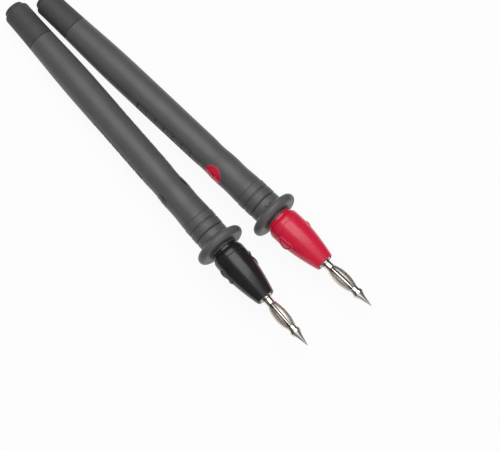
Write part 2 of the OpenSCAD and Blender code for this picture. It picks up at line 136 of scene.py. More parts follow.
@dataclass
class Shell:
    """Points and faces of one or more closed surfaces."""

    points: list[Spot] = field(default_factory=list)
    faces: list[tuple[int, ...]] = field(default_factory=list)

    def add(self, other: "Shell") -> "Shell":
        """Takes in another shell's points and faces.

        Args:
            other: the other shell, which stays as it is.

        Returns:
            This shell.
        """
        start = len(self.points)
        self.points += other.points
        self.faces += [tuple(start + i for i in f) for f in other.faces]
        return self

    def moved(self, matrix: Matrix) -> "Shell":
        """A copy of the shell, moved by a matrix."""
        return Shell([tuple(matrix @ Vector(p)) for p in self.points], list(self.faces))

    def mesh(self, name: str, weld: float = 0.0, sharp_deg: float = 32.0) -> bpy.types.Mesh:
        """Makes a mesh whose faces point outwards.

        Args:
            name: the mesh's name.
            weld: distance within which points are merged, 0 for none.
            sharp_deg: edges that turn more than this stay sharp.

        Returns:
            The mesh, smooth shaded.
        """
        mesh = bpy.data.meshes.new(name)
        mesh.from_pydata(self.points, [], self.faces)
        turn_outwards(mesh, weld)
        smooth(mesh, sharp_deg)
        return mesh


def turn_outwards(mesh: bpy.types.Mesh, weld: float = 0.0) -> None:
    """Welds a mesh's doubles and makes the faces of a closed shell point outwards.

    Args:
        mesh: the mesh, which is changed.
        weld: distance within which points are merged, 0 for none.
    """
    work = bmesh.new()
    work.from_mesh(mesh)
    if weld:
        bmesh.ops.remove_doubles(work, verts=work.verts, dist=weld)
    if work.calc_volume(signed=True) < 0:
        bmesh.ops.reverse_faces(work, faces=work.faces)
    work.to_mesh(mesh)
    work.free()


def smooth(mesh: bpy.types.Mesh, sharp_deg: float) -> None:
    """Shades a mesh smooth, apart from its sharp edges.

    Args:
        mesh: the mesh, which is changed.
        sharp_deg: edges that turn more than this stay sharp.
    """
    mesh.polygons.foreach_set("use_smooth", [True] * len(mesh.polygons))
    mesh.set_sharp_from_angle(angle=math.radians(sharp_deg))
    mesh.update()


def revolve(outline: Sequence[Point], segments: int, swell: Swell | None = None) -> Shell:
    """Turns an outline round the axis into a closed shell.

    Args:
        outline: points (r, z), closed from last to first, or by the axis where both lie on it.
        segments: pieces round the axis.
        swell: gives the radius to use from (r, z, angle), for what isn't round.

    Returns:
        The shell.
    """
    shell = Shell()
    rings: list[list[int]] = []
    for r, z in outline:
        if r < ON_AXIS:
            shell.points.append((0.0, 0.0, z))
            rings.append([len(shell.points) - 1] * segments)
            continue
        start = len(shell.points)
        for k in range(segments):
            angle = 2 * math.pi * k / segments
            radius = swell(r, z, angle) if swell else r
            shell.points.append((radius * math.cos(angle), radius * math.sin(angle), z))
        rings.append(list(range(start, start + segments)))
    closed_by_axis = outline[0][0] < ON_AXIS and outline[-1][0] < ON_AXIS
    pairs = len(rings) - 1 if closed_by_axis else len(rings)
    for j in range(pairs):
        low, high = rings[j], rings[(j + 1) % len(rings)]
        for k in range(segments):
            m = (k + 1) % segments
            corners = (low[k], low[m], high[m], high[k])
            face = tuple(dict.fromkeys(corners))
            if len(face) > 2:
                shell.faces.append(face)
    return shell


def arc_points(r: float, z: float, size_r: float, size_z: float,
               start: float, end: float, steps: int) -> list[Corner]:
    """Points of an elliptic arc in the outline's plane.

    Args:
        r: the centre's distance from the axis.
        z: the centre's station.
        size_r: half size across the axis.
        size_z: half size along the axis.
        start: first angle in degrees, 0 pointing away from the axis and 90 along z.
        end: last angle in degrees.
        steps: pieces in the arc.

    Returns:
        The arc's points, as corners without fillets.
    """
    angles = [math.radians(start + (end - start) * i / steps) for i in range(steps + 1)]
    return [Corner(r + size_r * math.cos(a), z + size_z * math.sin(a)) for a in angles]


def smoothstep(low: float, high: float, x: float) -> float:
    """0 below low, 1 above high and smooth between."""
    t = max(0.0, min(1.0, (x - low) / (high - low)))
    return t * t * (3 - 2 * t)


def densify(line: Sequence[Point], step: float, closed: bool = False) -> list[Point]:
    """Adds points to a line so that none of its pieces is longer than a step.

    Args:
        line: the line's points.
        step: the longest piece.
        closed: whether the line comes back to its first point.

    Returns:
        The line's points with the new ones between them.
    """
    ends = [*line[1:], line[0]] if closed else line[1:]
    dense: list[Point] = []
    for (x0, y0), (x1, y1) in zip(line, ends):
        pieces = max(1, math.ceil(math.hypot(x1 - x0, y1 - y0) / step))
        dense += [(x0 + (x1 - x0) * k / pieces, y0 + (y1 - y0) * k / pieces)
                  for k in range(pieces)]
    return dense if closed else [*dense, line[-1]]


# --- places and pieces ----------------------------------------------------------------------


@dataclass
class ProbePlace:
    """Where one probe lies, read from its joints.

    Attributes:
        colour: which probe it is.
        roll_deg: turn of the probe round its axis, in degrees.
        guard_station: the finger guard's distance from the needle point, in millimetres.
    """

    colour: ProbeColour
    roll_deg: float
    guard_station: float = 40.2

    def matrix(self) -> Matrix:
        """Moves probe coordinates in millimetres into the frame in metres.

        Returns:
            The matrix of that move.
        """
        joints = {j["name"]: j for j in frame["joints"]}
        guard = Vector(joints[f"{self.colour.value}_twist"]["pos_m"])
        ahead = Vector(joints[f"{self.colour.value}_slide"]["axis"]).normalized()
        z = -ahead
        y = Vector((-ahead.y, ahead.x, 0.0)).normalized()
        x = y.cross(z)
        roll = Matrix.Rotation(math.radians(self.roll_deg), 3, "Z")
        turn = Matrix((x, y, z)).transposed() @ roll
        tip = guard + ahead * self.guard_station * MM
        return Matrix.Translation(tip) @ turn.to_4x4() @ Matrix.Scale(MM, 4)

    def mapping(self) -> tuple[Vector, Vector]:
        """How a Mapping node turns frame metres into probe millimetres.

        Returns:
            The node's location and rotation.
        """
        back = self.matrix().inverted()
        rotation = back.to_quaternion().to_euler("XYZ")
        return back.translation, Vector(rotation)


def put_in_scene(name: str, data: bpy.types.ID) -> bpy.types.Object:
    """Makes an object of a mesh, lamp or camera and links it to the scene.

    Args:
        name: the object's name.
        data: what the object shows.

    Returns:
        The object.
    """
    made = bpy.data.objects.new(name, data)
    bpy.context.scene.collection.objects.link(made)
    return made


def dress(mesh: bpy.types.Mesh, material: bpy.types.Material) -> None:
    """Leaves a mesh with one material."""
    mesh.materials.clear()
    mesh.materials.append(material)


def put_piece(name: str, mesh: bpy.types.Mesh, place: ProbePlace, material: bpy.types.Material,
              body: Body, stands_for: Iterable[str] = ()) -> bpy.types.Object:
    """Puts a finished mesh in the frame and ties it to its body.

    Args:
        name: the piece's name without the probe's colour.
        mesh: the mesh in probe coordinates, which is moved into the frame.
        place: where the probe lies.
        material: the piece's material.
        body: what the piece moves with.
        stands_for: CAD nodes that the piece replaces, without the probe's colour.

    Returns:
        The piece.
    """
    mesh.transform(place.matrix())
    dress(mesh, material)
    colour = place.colour.value
    piece = put_in_scene(f"{colour}_{name}", mesh)
    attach(piece, body.of(place.colour))
    nodes = [f"{colour}_{node}" for node in stands_for]
    if nodes:
        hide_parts(*nodes)
    triangles = sum(len(p.vertices) - 2 for p in mesh.polygons)
    LOG.info("%s: %d triangles, rides on %s, stands for %s",
             piece.name, triangles, body.of(place.colour), nodes or "nothing")
    return piece


def dress_node(node: str, material: bpy.types.Material) -> None:
    """Gives a CAD node that is kept its material."""
    dress(frame["nodes"][node].data, material)
    LOG.info("%s: kept from the frame, dressed in %s", node, material.name)


class Bench:
    """Runs modifiers on a mesh in probe coordinates and hands back a plain mesh."""

    def __init__(self, mesh: bpy.types.Mesh) -> None:
        """Puts the mesh on a working object."""
        self.work = put_in_scene("work", mesh)

    def bevel(self, width: float, segments: int = 2, angle_deg: float = 40.0) -> "Bench":
        """Adds rounded edges.

        Args:
            width: the rounding's width, in millimetres.
            segments: pieces across it.
            angle_deg: edges that turn more than this are rounded.

        Returns:
            The bench.
        """
        bevel = self.work.modifiers.new("bevel", "BEVEL")
        bevel.width, bevel.segments = width, segments
        bevel.limit_method, bevel.angle_limit = "ANGLE", math.radians(angle_deg)
        return self

    def cut(self, cutter: bpy.types.Mesh) -> "Bench":
        """Cuts another mesh out.

        Args:
            cutter: the other mesh, made of closed surfaces.

        Returns:
            The bench.
        """
        cut = self.work.modifiers.new("cut", "BOOLEAN")
        cut.operation, cut.solver = "DIFFERENCE", "EXACT"
        cut.object = put_in_scene("cutter", cutter)
        return self

    def nodes(self, tree: bpy.types.NodeTree, **values: object) -> "Bench":
        """Adds a Geometry Nodes tree and sets its inputs by their identifiers.

        Args:
            tree: the tree.
            values: the inputs' values, by their names.

        Returns:
            The bench.
        """
        modifier = self.work.modifiers.new(tree.name, "NODES")
        modifier.node_group = tree
        sockets = {s.name: s.identifier for s in tree.interface.items_tree
                   if s.item_type == "SOCKET" and s.in_out == "INPUT"}
        for name, value in values.items():
            modifier[sockets[name]] = value
        return self

    def done(self, name: str, sharp_deg: float = 32.0) -> bpy.types.Mesh:
        """Turns the result into a plain mesh and clears the bench.

        Args:
            name: the new mesh's name.
            sharp_deg: edges that turn more than this stay sharp.

        Returns:
            The mesh.
        """
        bpy.context.view_layer.update()
        graph = bpy.context.evaluated_depsgraph_get()
        mesh = bpy.data.meshes.new_from_object(self.work.evaluated_get(graph))
        mesh.name = name
        tools = [m.object for m in self.work.modifiers if m.type == "BOOLEAN"]
        self.work.modifiers.clear()
        for spent in [self.work, *tools]:
            bpy.data.objects.remove(spent)
        smooth(mesh, sharp_deg)
        return mesh


# --- node trees -----------------------------------------------------------------------------


class NodeCanvas:
    """Adds and joins the nodes of one shader or geometry tree."""

    def __init__(self, tree: bpy.types.NodeTree) -> None:
        """Draws on the given tree."""
        self.tree = tree

    def add(self, kind: str, inputs: dict[str, object] | None = None,
            **settings: object) -> bpy.types.Node:
        """Adds a node.

        Args:
            kind: Blender's name for the node type.
            inputs: values or sockets for the node's inputs, by socket name or index.
            settings: the node's own properties.

        Returns:
            The node.
        """
        node = self.tree.nodes.new(kind)
        for name, value in settings.items():
            setattr(node, name, value)
        for name, value in (inputs or {}).items():
            self.feed(node.inputs[name], value)
        return node

    def feed(self, socket: bpy.types.NodeSocket, value: object) -> None:
        """Links another node's output to a socket, or writes a plain value on it.

        Args:
            socket: the input socket.
            value: an output socket, or what is written on the input.
        """
        if isinstance(value, bpy.types.NodeSocket):
            self.tree.links.new(value, socket)
        else:
            socket.default_value = value

    def math(self, operation: str, *values: object, clamp: bool = False) -> bpy.types.NodeSocket:
        """Adds a Math node.

        Args:
            operation: Blender's name for the operation.
            values: sockets and numbers for its inputs, in order.
            clamp: whether the result stays between 0 and 1.

        Returns:
            The node's output.
        """
        node = self.tree.nodes.new("ShaderNodeMath")
        node.operation, node.use_clamp = operation, clamp
        for socket, value in zip(node.inputs, values):
            self.feed(socket, value)
        return node.outputs[0]

    def mix(self, share: object, first: object, second: object) -> bpy.types.NodeSocket:
        """Adds a node for a colour between two colours.

        Args:
            share: the second colour's share, a socket or a number.
            first: the colour at 0.
            second: the colour at 1.

        Returns:
            The node's colour output.
        """
        node = self.tree.nodes.new("ShaderNodeMix")
        node.data_type = "RGBA"
        self.feed(node.inputs["Factor"], share)
        for socket, value in zip([s for s in node.inputs if s.type == "RGBA"], (first, second)):
            self.feed(socket, value)
        return next(s for s in node.outputs if s.type == "RGBA")

    def ramp(self, value: object, start: float, end: float, low: float, high: float,
             kind: str = "SMOOTHSTEP") -> bpy.types.NodeSocket:
        """Adds a Map Range node.

        Args:
            value: the socket that it reads.
            start: the value at which the result is low.
            end: the value at which the result is high.
            low: the first result.
            high: the last result.
            kind: Blender's name for the way between them.

        Returns:
            The node's output.
        """
        node = self.add("ShaderNodeMapRange", {
            "Value": value, "From Min": start, "From Max": end,
            "To Min": low, "To Max": high}, interpolation_type=kind)
        return node.outputs[0]

    def noise(self, vector: bpy.types.NodeSocket, scale: object, detail: float = 2.0,
              roughness: float = 0.5) -> bpy.types.NodeSocket:
        """Adds a Noise Texture.

        Args:
            vector: the coordinates that it reads.
            scale: its scale, a socket or a number.
            detail: how many finer layers it has.
            roughness: the finer layers' weight.

        Returns:
            The node's value between 0 and 1.
        """
        node = self.add("ShaderNodeTexNoise", {
            "Vector": vector, "Scale": scale, "Detail": detail, "Roughness": roughness})
        return node.outputs["Fac"]


def new_group(name: str, kind: str, inputs: Sequence[tuple], outputs: Sequence[tuple]
              ) -> tuple[bpy.types.NodeTree, NodeCanvas, bpy.types.Node, bpy.types.Node]:
    """Starts a node group with named inputs and outputs.

    Args:
        name: the group's name.
        kind: ShaderNodeTree or GeometryNodeTree.
        inputs: (name, socket type, default or None) of each input.
        outputs: (name, socket type) of each output.

    Returns:
        The tree, its canvas, the node of its inputs and the node of its outputs.
    """
    tree = bpy.data.node_groups.new(name, kind)
    for title, socket_type, default in inputs:
        socket = tree.interface.new_socket(title, in_out="INPUT", socket_type=socket_type)
        if default is not None:
            socket.default_value = default
    for title, socket_type in outputs:
        tree.interface.new_socket(title, in_out="OUTPUT", socket_type=socket_type)
    canvas = NodeCanvas(tree)
    return tree, canvas, canvas.add("NodeGroupInput"), canvas.add("NodeGroupOutput")


class Effects:
    """Surface effects that several materials share, each one a shader node group."""

    def __init__(self) -> None:
        """Builds every group once."""
        self.fine_grain = self._fine_grain()
        self.edge_wear = self._edge_wear()
        self.dust = self._dust()
        self.turning_lines = self._turning_lines()
        self.scuffs = self._scuffs()
        self.painted_gap_shade = self._painted_gap_shade()
        self.fine_teeth = self._fine_teeth()

    @staticmethod
    def _fine_grain() -> bpy.types.NodeTree:
        """Fine moulded grain with slow shading under it.

        Returns:
            The group.
        """
        tree, c, given, out = new_group(
            "fine_grain", "ShaderNodeTree",
            [("Vector", "NodeSocketVector", None), ("Grain Scale", "NodeSocketFloat", 6.0),
             ("Shade Scale", "NodeSocketFloat", 0.25)],
            [("Height", "NodeSocketFloat"), ("Shade", "NodeSocketFloat")])
        vector = given.outputs["Vector"]
        grain = c.noise(vector, given.outputs["Grain Scale"], 2.0, 0.6)
        slow = c.noise(vector, given.outputs["Shade Scale"], 3.0, 0.55)
        c.feed(out.inputs["Height"], grain)
        c.feed(out.inputs["Shade"], c.math("MULTIPLY_ADD", slow, 2.2, -0.6, clamp=True))
        return tree

    @staticmethod
    def _edge_wear() -> bpy.types.NodeTree:
        """Where convex edges are rubbed.

        Returns:
            The group.
        """
        tree, c, given, out = new_group(
            "edge_wear", "ShaderNodeTree",
            [("Vector", "NodeSocketVector", None), ("Reach", "NodeSocketFloat", 0.0003),
             ("Gain", "NodeSocketFloat", 6.0)],
            [("Mask", "NodeSocketFloat")])
        rounded = c.add("ShaderNodeBevel", {"Radius": given.outputs["Reach"]}, samples=4)
        flat = c.add("ShaderNodeNewGeometry")
        same_way = c.add("ShaderNodeVectorMath", {
            0: rounded.outputs["Normal"], 1: flat.outputs["Normal"]}, operation="DOT_PRODUCT")
        bend = c.math("SUBTRACT", 1.0, same_way.outputs["Value"])
        patches = c.noise(given.outputs["Vector"], 0.9, 4.0, 0.7)
        strong = c.math("MULTIPLY", bend, given.outputs["Gain"])
        c.feed(out.inputs["Mask"], c.math("MULTIPLY", strong, patches, clamp=True))
        return tree

    @staticmethod
    def _dust() -> bpy.types.NodeTree:
        """Thin dust that lies on what faces up.

        Returns:
            The group.
        """
        tree, c, given, out = new_group(
            "light_dust", "ShaderNodeTree",
            [("Vector", "NodeSocketVector", None), ("Amount", "NodeSocketFloat", 0.3)],
            [("Mask", "NodeSocketFloat")])
        faces = c.add("ShaderNodeNewGeometry")
        split = c.add("ShaderNodeSeparateXYZ", {0: faces.outputs["Normal"]})
        up = c.math("MULTIPLY_ADD", split.outputs["Z"], 0.7, 0.3, clamp=True)
        specks = c.noise(given.outputs["Vector"], 2.6, 5.0, 0.75)
        lying = c.math("MULTIPLY", up, c.math("MULTIPLY_ADD", specks, 3.0, -1.45, clamp=True))
        c.feed(out.inputs["Mask"], c.math("MULTIPLY", lying, given.outputs["Amount"]))
        return tree

    @staticmethod
    def _turning_lines() -> bpy.types.NodeTree:
        """Fine rings that a lathe leaves round an axis.

        Returns:
            The group.
        """
        tree, c, given, out = new_group(
            "turning_lines", "ShaderNodeTree",
            [("Vector", "NodeSocketVector", None), ("Lines", "NodeSocketFloat", 14.0)],
            [("Height", "NodeSocketFloat")])
        split = c.add("ShaderNodeSeparateXYZ", {0: given.outputs["Vector"]})
        radius = c.math("SQRT", c.math("ADD", c.math("POWER", split.outputs["X"], 2.0),
                                       c.math("POWER", split.outputs["Y"], 2.0)))
        turned = c.add("ShaderNodeCombineXYZ", {"X": c.math("MULTIPLY", radius, 0.5),
                                                "Z": split.outputs["Z"]})
        lines = c.noise(turned.outputs[0], given.outputs["Lines"], 3.0, 0.7)
        c.feed(out.inputs["Height"], lines)
        return tree

    @staticmethod
    def _fine_teeth() -> bpy.types.NodeTree:
        """Fine lengthwise teeth round the axis, between two stations.

        Returns:
            The group.
        """
        tree, c, given, out = new_group(
            "fine_teeth", "ShaderNodeTree",
            [("Vector", "NodeSocketVector", None), ("Teeth", "NodeSocketFloat", 64.0),
             ("Front", "NodeSocketFloat", 0.0), ("Rear", "NodeSocketFloat", 1.0)],
            [("Height", "NodeSocketFloat")])
        split = c.add("ShaderNodeSeparateXYZ", {0: given.outputs["Vector"]})
        angle = c.math("ARCTAN2", split.outputs["Y"], split.outputs["X"])
        wave = c.math("SINE", c.math("MULTIPLY", angle, given.outputs["Teeth"]))
        inside = c.math("MULTIPLY",
                        c.math("GREATER_THAN", split.outputs["Z"], given.outputs["Front"]),
                        c.math("LESS_THAN", split.outputs["Z"], given.outputs["Rear"]))
        c.feed(out.inputs["Height"], c.math("MULTIPLY", wave, inside))
        return tree

    @staticmethod
    def _scuffs() -> bpy.types.NodeTree:
        """Hair-fine scratches that run every way, for roughness.

        Returns:
            The group.
        """
        tree, c, given, out = new_group(
            "fine_scuffs", "ShaderNodeTree",
            [("Vector", "NodeSocketVector", None)], [("Mask", "NodeSocketFloat")])
        masks = []
        for turn in ((0.3, 0.9, 0.0), (1.2, 0.1, 0.7), (0.6, 0.4, 1.9)):
            place = c.add("ShaderNodeMapping", {"Vector": given.outputs["Vector"],
                                                "Rotation": turn, "Scale": (9.0, 0.5, 9.0)})
            hair = c.noise(place.outputs[0], 1.0)
            masks.append(c.math("MULTIPLY_ADD", hair, 9.0, -5.6, clamp=True))
        both = c.math("MAXIMUM", masks[0], masks[1])
        c.feed(out.inputs["Mask"], c.math("MAXIMUM", both, masks[2]))
        return tree

    @staticmethod
    def _painted_gap_shade() -> bpy.types.NodeTree:
        """Painted shade for narrow gaps: how shut in a spot is by its neighbours, 0 in the open and
        1 in a narrow gap.

        Returns:
            The group.
        """
        tree, c, given, out = new_group(
            "painted_gap_shade", "ShaderNodeTree",
            [("Vector", "NodeSocketVector", None), ("Reach", "NodeSocketFloat", 0.002),
             ("Gain", "NodeSocketFloat", 1.6)],
            [("Mask", "NodeSocketFloat")])
        open_sky = c.add("ShaderNodeAmbientOcclusion", {"Distance": given.outputs["Reach"]},
                         samples=8)
        shut = c.math("SUBTRACT", 1.0, open_sky.outputs["AO"])
        uneven = c.math("MULTIPLY_ADD", c.noise(given.outputs["Vector"], 1.5), 0.3, 0.85)
        deep = c.math("MULTIPLY", shut, given.outputs["Gain"])
        c.feed(out.inputs["Mask"], c.math("MULTIPLY", deep, uneven, clamp=True))
        return tree


@dataclass(frozen=True)
class Finish:
    """What every finish has: a name, and a canvas with the piece's own coordinates."""

    name: str

    def start(self, place: ProbePlace) -> tuple[
            bpy.types.Material, NodeCanvas, bpy.types.Node, bpy.types.NodeSocket]:
        """Starts the material of one probe's piece.

        Args:
            place: the probe, whose millimetres the textures read.

        Returns:
            The material, its canvas, its Principled BSDF and the texture vector.
        """
        material = bpy.data.materials.new(f"{place.colour.value}_{self.name}")
        material.use_nodes = True
        canvas = NodeCanvas(material.node_tree)
        shader = material.node_tree.nodes["Principled BSDF"]
        coordinates = canvas.add("ShaderNodeTexCoord")
        location, rotation = place.mapping()
        mapping = canvas.add("ShaderNodeMapping", {
            "Vector": coordinates.outputs["Object"], "Location": location,
            "Rotation": rotation, "Scale": (1 / MM, 1 / MM, 1 / MM)})
        return material, canvas, shader, mapping.outputs[0]


def use_group(canvas: NodeCanvas, tree: bpy.types.NodeTree, vector: bpy.types.NodeSocket,
              **values: float) -> bpy.types.Node:
    """Places a shared effect in a material with that material's own values.

    Args:
        canvas: the material's canvas.
        tree: the effect's group.
        vector: the piece's own coordinates.
        values: the group's inputs, by their names in small letters.

    Returns:
        The group's node.
    """
    node = canvas.add("ShaderNodeGroup", node_tree=tree)
    canvas.feed(node.inputs["Vector"], vector)
    for name, value in values.items():
        node.inputs[name.replace("_", " ").title()].default_value = value
    return node


@dataclass(frozen=True)
class GripRubber(Finish):
    """Soft matt overmould: fine grain, faint cloudiness, paler rubbed edges, a little dust and
    painted shade in its narrow gaps.

    Attributes:
        colour: the rubber's colour.
        cloudy: its paler patches.
        rubbed: its edges.
        dusty: dust on it.
        gap_shade_colour: the colour of the painted shade in its narrow gaps.
        gap_shade_gain: how fast the painted shade in a gap turns dark.
        roughness: how matt it is.
        grain_depth: depth of the moulded grain, in metres.
        teeth: number of fine teeth round it, 0 for none.
        teeth_front: station where the teeth begin.
        teeth_rear: station where they end.
        teeth_depth: their depth, as a multiple of the grain's.
    """

    colour: Rgba = (0.082, 0.082, 0.083, 1)
    cloudy: Rgba = (0.098, 0.098, 0.099, 1)
    rubbed: Rgba = (0.17, 0.17, 0.172, 1)
    dusty: Rgba = (0.30, 0.29, 0.28, 1)
    gap_shade_colour: Rgba = (0.012, 0.011, 0.011, 1)
    gap_shade_gain: float = 2.2
    roughness: float = 0.44
    grain_depth: float = 0.000018
    teeth: float = 0.0
    teeth_front: float = 45.2
    teeth_rear: float = 50.55
    teeth_depth: float = 1.0

    def build(self, effects: Effects, place: ProbePlace) -> bpy.types.Material:
        """Makes the material for one probe.

        Args:
            effects: the shared surface effects.
            place: the probe.

        Returns:
            The material.
        """
        material, c, shader, vector = self.start(place)
        grain = use_group(c, effects.fine_grain, vector, grain_scale=7.0, shade_scale=0.16)
        wear = use_group(c, effects.edge_wear, vector, reach=0.00035, gain=7.0)
        dust = use_group(c, effects.dust, vector, amount=0.16)
        base = c.mix(grain.outputs["Shade"], self.colour, self.cloudy)
        base = c.mix(wear.outputs["Mask"], base, self.rubbed)
        base = c.mix(dust.outputs["Mask"], base, self.dusty)
        # painted shade: the rubber turns nearly black where ambient occlusion finds a narrow gap
        painted_gap_shade = use_group(c, effects.painted_gap_shade, vector, reach=0.0006, gain=self.gap_shade_gain)
        base = c.mix(painted_gap_shade.outputs["Mask"], base, self.gap_shade_colour)
        c.feed(shader.inputs["Base Color"], base)
        rough = c.math("MULTIPLY_ADD", grain.outputs["Height"], 0.18, self.roughness - 0.09)
        c.feed(shader.inputs["Roughness"], rough)
        height = grain.outputs["Height"]
        if self.teeth:
            teeth = use_group(c, effects.fine_teeth, vector, teeth=self.teeth,
                              front=self.teeth_front, rear=self.teeth_rear)
            height = c.math("MULTIPLY_ADD", teeth.outputs["Height"], self.teeth_depth, height)
        bump = c.add("ShaderNodeBump", {"Height": height, "Strength": 0.6,
                                        "Distance": self.grain_depth})
        c.feed(shader.inputs["Normal"], bump.outputs["Normal"])
        return material


@dataclass(frozen=True)
class MouldedPlastic(Finish):
    """Hard satin plastic: uneven gloss, fine scuffs, paler rubbed edges and a little dust."""

    colour: Rgba = (0.5, 0.5, 0.5, 1)
    deep: Rgba = (0.4, 0.4, 0.4, 1)
    rubbed: Rgba = (0.7, 0.7, 0.7, 1)
    dusty: Rgba = (0.5, 0.48, 0.46, 1)
    roughness: float = 0.3
    coat: float = 0.25
    coat_roughness: float = 0.16
    dust: float = 0.1
    grain_depth: float = 0.00001

    def build(self, effects: Effects, place: ProbePlace) -> bpy.types.Material:
        """Makes the material for one probe.

        Args:
            effects: the shared surface effects.
            place: the probe.

        Returns:
            The material.
        """
        material, c, shader, vector = self.start(place)
        grain = use_group(c, effects.fine_grain, vector, grain_scale=3.2, shade_scale=0.2)
        wear = use_group(c, effects.edge_wear, vector, reach=0.00025, gain=5.0)
        scuffs = use_group(c, effects.scuffs, vector)
        dust = use_group(c, effects.dust, vector, amount=self.dust)
        base = c.mix(grain.outputs["Shade"], self.colour, self.deep)
        base = c.mix(wear.outputs["Mask"], base, self.rubbed)
        base = c.mix(dust.outputs["Mask"], base, self.dusty)
        c.feed(shader.inputs["Base Color"], base)
        rough = c.math("MULTIPLY_ADD", scuffs.outputs["Mask"], 0.16, self.roughness)
        c.feed(shader.inputs["Roughness"], rough)
        shader.inputs["Coat Weight"].default_value = self.coat
        shader.inputs["Coat Roughness"].default_value = self.coat_roughness
        bump = c.add("ShaderNodeBump", {"Height": grain.outputs["Height"], "Strength": 0.35,
                                        "Distance": self.grain_depth})
        c.feed(shader.inputs["Normal"], bump.outputs["Normal"])
        return material


@dataclass(frozen=True)
class TurnedMetal(Finish):
    """Bare or plated metal with turning lines, slight tarnish, scuffs and painted shade in its
    narrow gaps.
    """

    colour: Rgba = (0.84, 0.80, 0.75, 1)
    tarnish: Rgba = (0.62, 0.55, 0.48, 1)
    roughness: float = 0.14
    tarnished: float = 0.3
    # painted shade: the colour that the metal's narrow gaps are painted
    gap_shade_colour: Rgba = (0.10, 0.08, 0.07, 1)
    lines: float = 12.0
    line_depth: float = 0.000004
    satin: float = 0.0
    satin_from: float = 7.6
    satin_to: float = 16.2

    def _satin(self, c: NodeCanvas, vector: bpy.types.NodeSocket) -> bpy.types.NodeSocket:
        """Extra roughness between two stations, where the metal was bent and not polished.

        Args:
            c: the material's canvas.
            vector: the piece's own coordinates.

        Returns:
            What is added to the roughness.
        """
        station = c.add("ShaderNodeSeparateXYZ", {0: vector}).outputs["Z"]
        begins = c.ramp(station, self.satin_from - 0.4, self.satin_from + 0.8,
                        0.0, self.satin, "LINEAR")
        ends = c.ramp(station, self.satin_to - 0.8, self.satin_to + 0.4, 1.0, 0.0, "LINEAR")
        return c.math("MULTIPLY", begins, ends)

    def build(self, effects: Effects, place: ProbePlace) -> bpy.types.Material:
        """Makes the material for one probe.

        Args:
            effects: the shared surface effects.
            place: the probe.

        Returns:
            The material.
        """
        material, c, shader, vector = self.start(place)
        lines = use_group(c, effects.turning_lines, vector, lines=self.lines)
        scuffs = use_group(c, effects.scuffs, vector)
        grain = use_group(c, effects.fine_grain, vector, grain_scale=5.0, shade_scale=0.5)
        stain = c.math("MULTIPLY", grain.outputs["Shade"], self.tarnished)
        # painted shade: the metal turns dark brown where ambient occlusion finds a narrow gap
        painted_gap_shade = use_group(c, effects.painted_gap_shade, vector, reach=0.0014, gain=1.5)
        base = c.mix(stain, self.colour, self.tarnish)
        c.feed(shader.inputs["Base Color"], c.mix(painted_gap_shade.outputs["Mask"], base, self.gap_shade_colour))
        shader.inputs["Metallic"].default_value = 1.0
        rough = c.math("MULTIPLY_ADD", scuffs.outputs["Mask"], 0.12, self.roughness)
        rough = c.math("MULTIPLY_ADD", lines.outputs["Height"], 0.08, rough)
        if self.satin:
            rough = c.math("ADD", rough, self._satin(c, vector))
        c.feed(shader.inputs["Roughness"], rough)
        bump = c.add("ShaderNodeBump", {"Height": lines.outputs["Height"], "Strength": 0.5,
                                        "Distance": self.line_depth})
        c.feed(shader.inputs["Normal"], bump.outputs["Normal"])
        return material


@dataclass
class Finishes:
    """Every finish of one probe."""

    effects: Effects
    place: ProbePlace

    def __post_init__(self) -> None:
        """Builds the materials."""
        red = self.place.colour is ProbeColour.RED
        hard = MouldedPlastic(
            "hard_plastic", colour=(0.76, 0.005, 0.05, 1), deep=(0.68, 0.004, 0.042, 1),
            rubbed=(0.82, 0.12, 0.17, 1), roughness=0.3, coat=0.1, dust=0.04,
        ) if red else MouldedPlastic(
            "hard_plastic", colour=(0.011, 0.011, 0.012, 1), deep=(0.016, 0.016, 0.017, 1),
            rubbed=(0.06, 0.06, 0.062, 1), roughness=0.27, coat=0.1, dust=0.04)
        self.hard = hard.build(self.effects, self.place)
        self.grip = GripRubber("grip_rubber", teeth=64.0).build(self.effects, self.place)
        self.guard = GripRubber("guard_plastic", colour=(0.095, 0.094, 0.094, 1),
                                cloudy=(0.11, 0.109, 0.109, 1), roughness=0.42,
                                grain_depth=0.000012).build(self.effects, self.place)
        self.gland = GripRubber("gland_rubber", colour=(0.05, 0.05, 0.051, 1),
                                cloudy=(0.06, 0.06, 0.061, 1), rubbed=(0.1, 0.1, 0.1, 1),
                                roughness=0.6).build(self.effects, self.place)
        self.nickel = TurnedMetal("nickel").build(self.effects, self.place)
        self.leaf = TurnedMetal("leaf_nickel", colour=(0.90, 0.85, 0.79, 1), satin=0.24).build(
            self.effects, self.place)
        self.brass = TurnedMetal("drawn_brass", colour=(0.72, 0.52, 0.24, 1),
                                 tarnish=(0.45, 0.30, 0.14, 1), roughness=0.24,
                                 tarnished=0.6, lines=5.0).build(self.effects, self.place)
        self.steel = TurnedMetal("spring_steel", colour=(0.55, 0.56, 0.58, 1),
                                 tarnish=(0.32, 0.30, 0.30, 1), roughness=0.3,
                                 tarnished=0.5, lines=8.0).build(self.effects, self.place)
        self.ivory = MouldedPlastic("natural_nylon", colour=(0.72, 0.68, 0.58, 1),
                                    deep=(0.64, 0.60, 0.50, 1), rubbed=(0.8, 0.77, 0.68, 1),
                                    roughness=0.45, coat=0.0).build(self.effects, self.place)


# --- sub-assemblies -------------------------------------------------------------------------


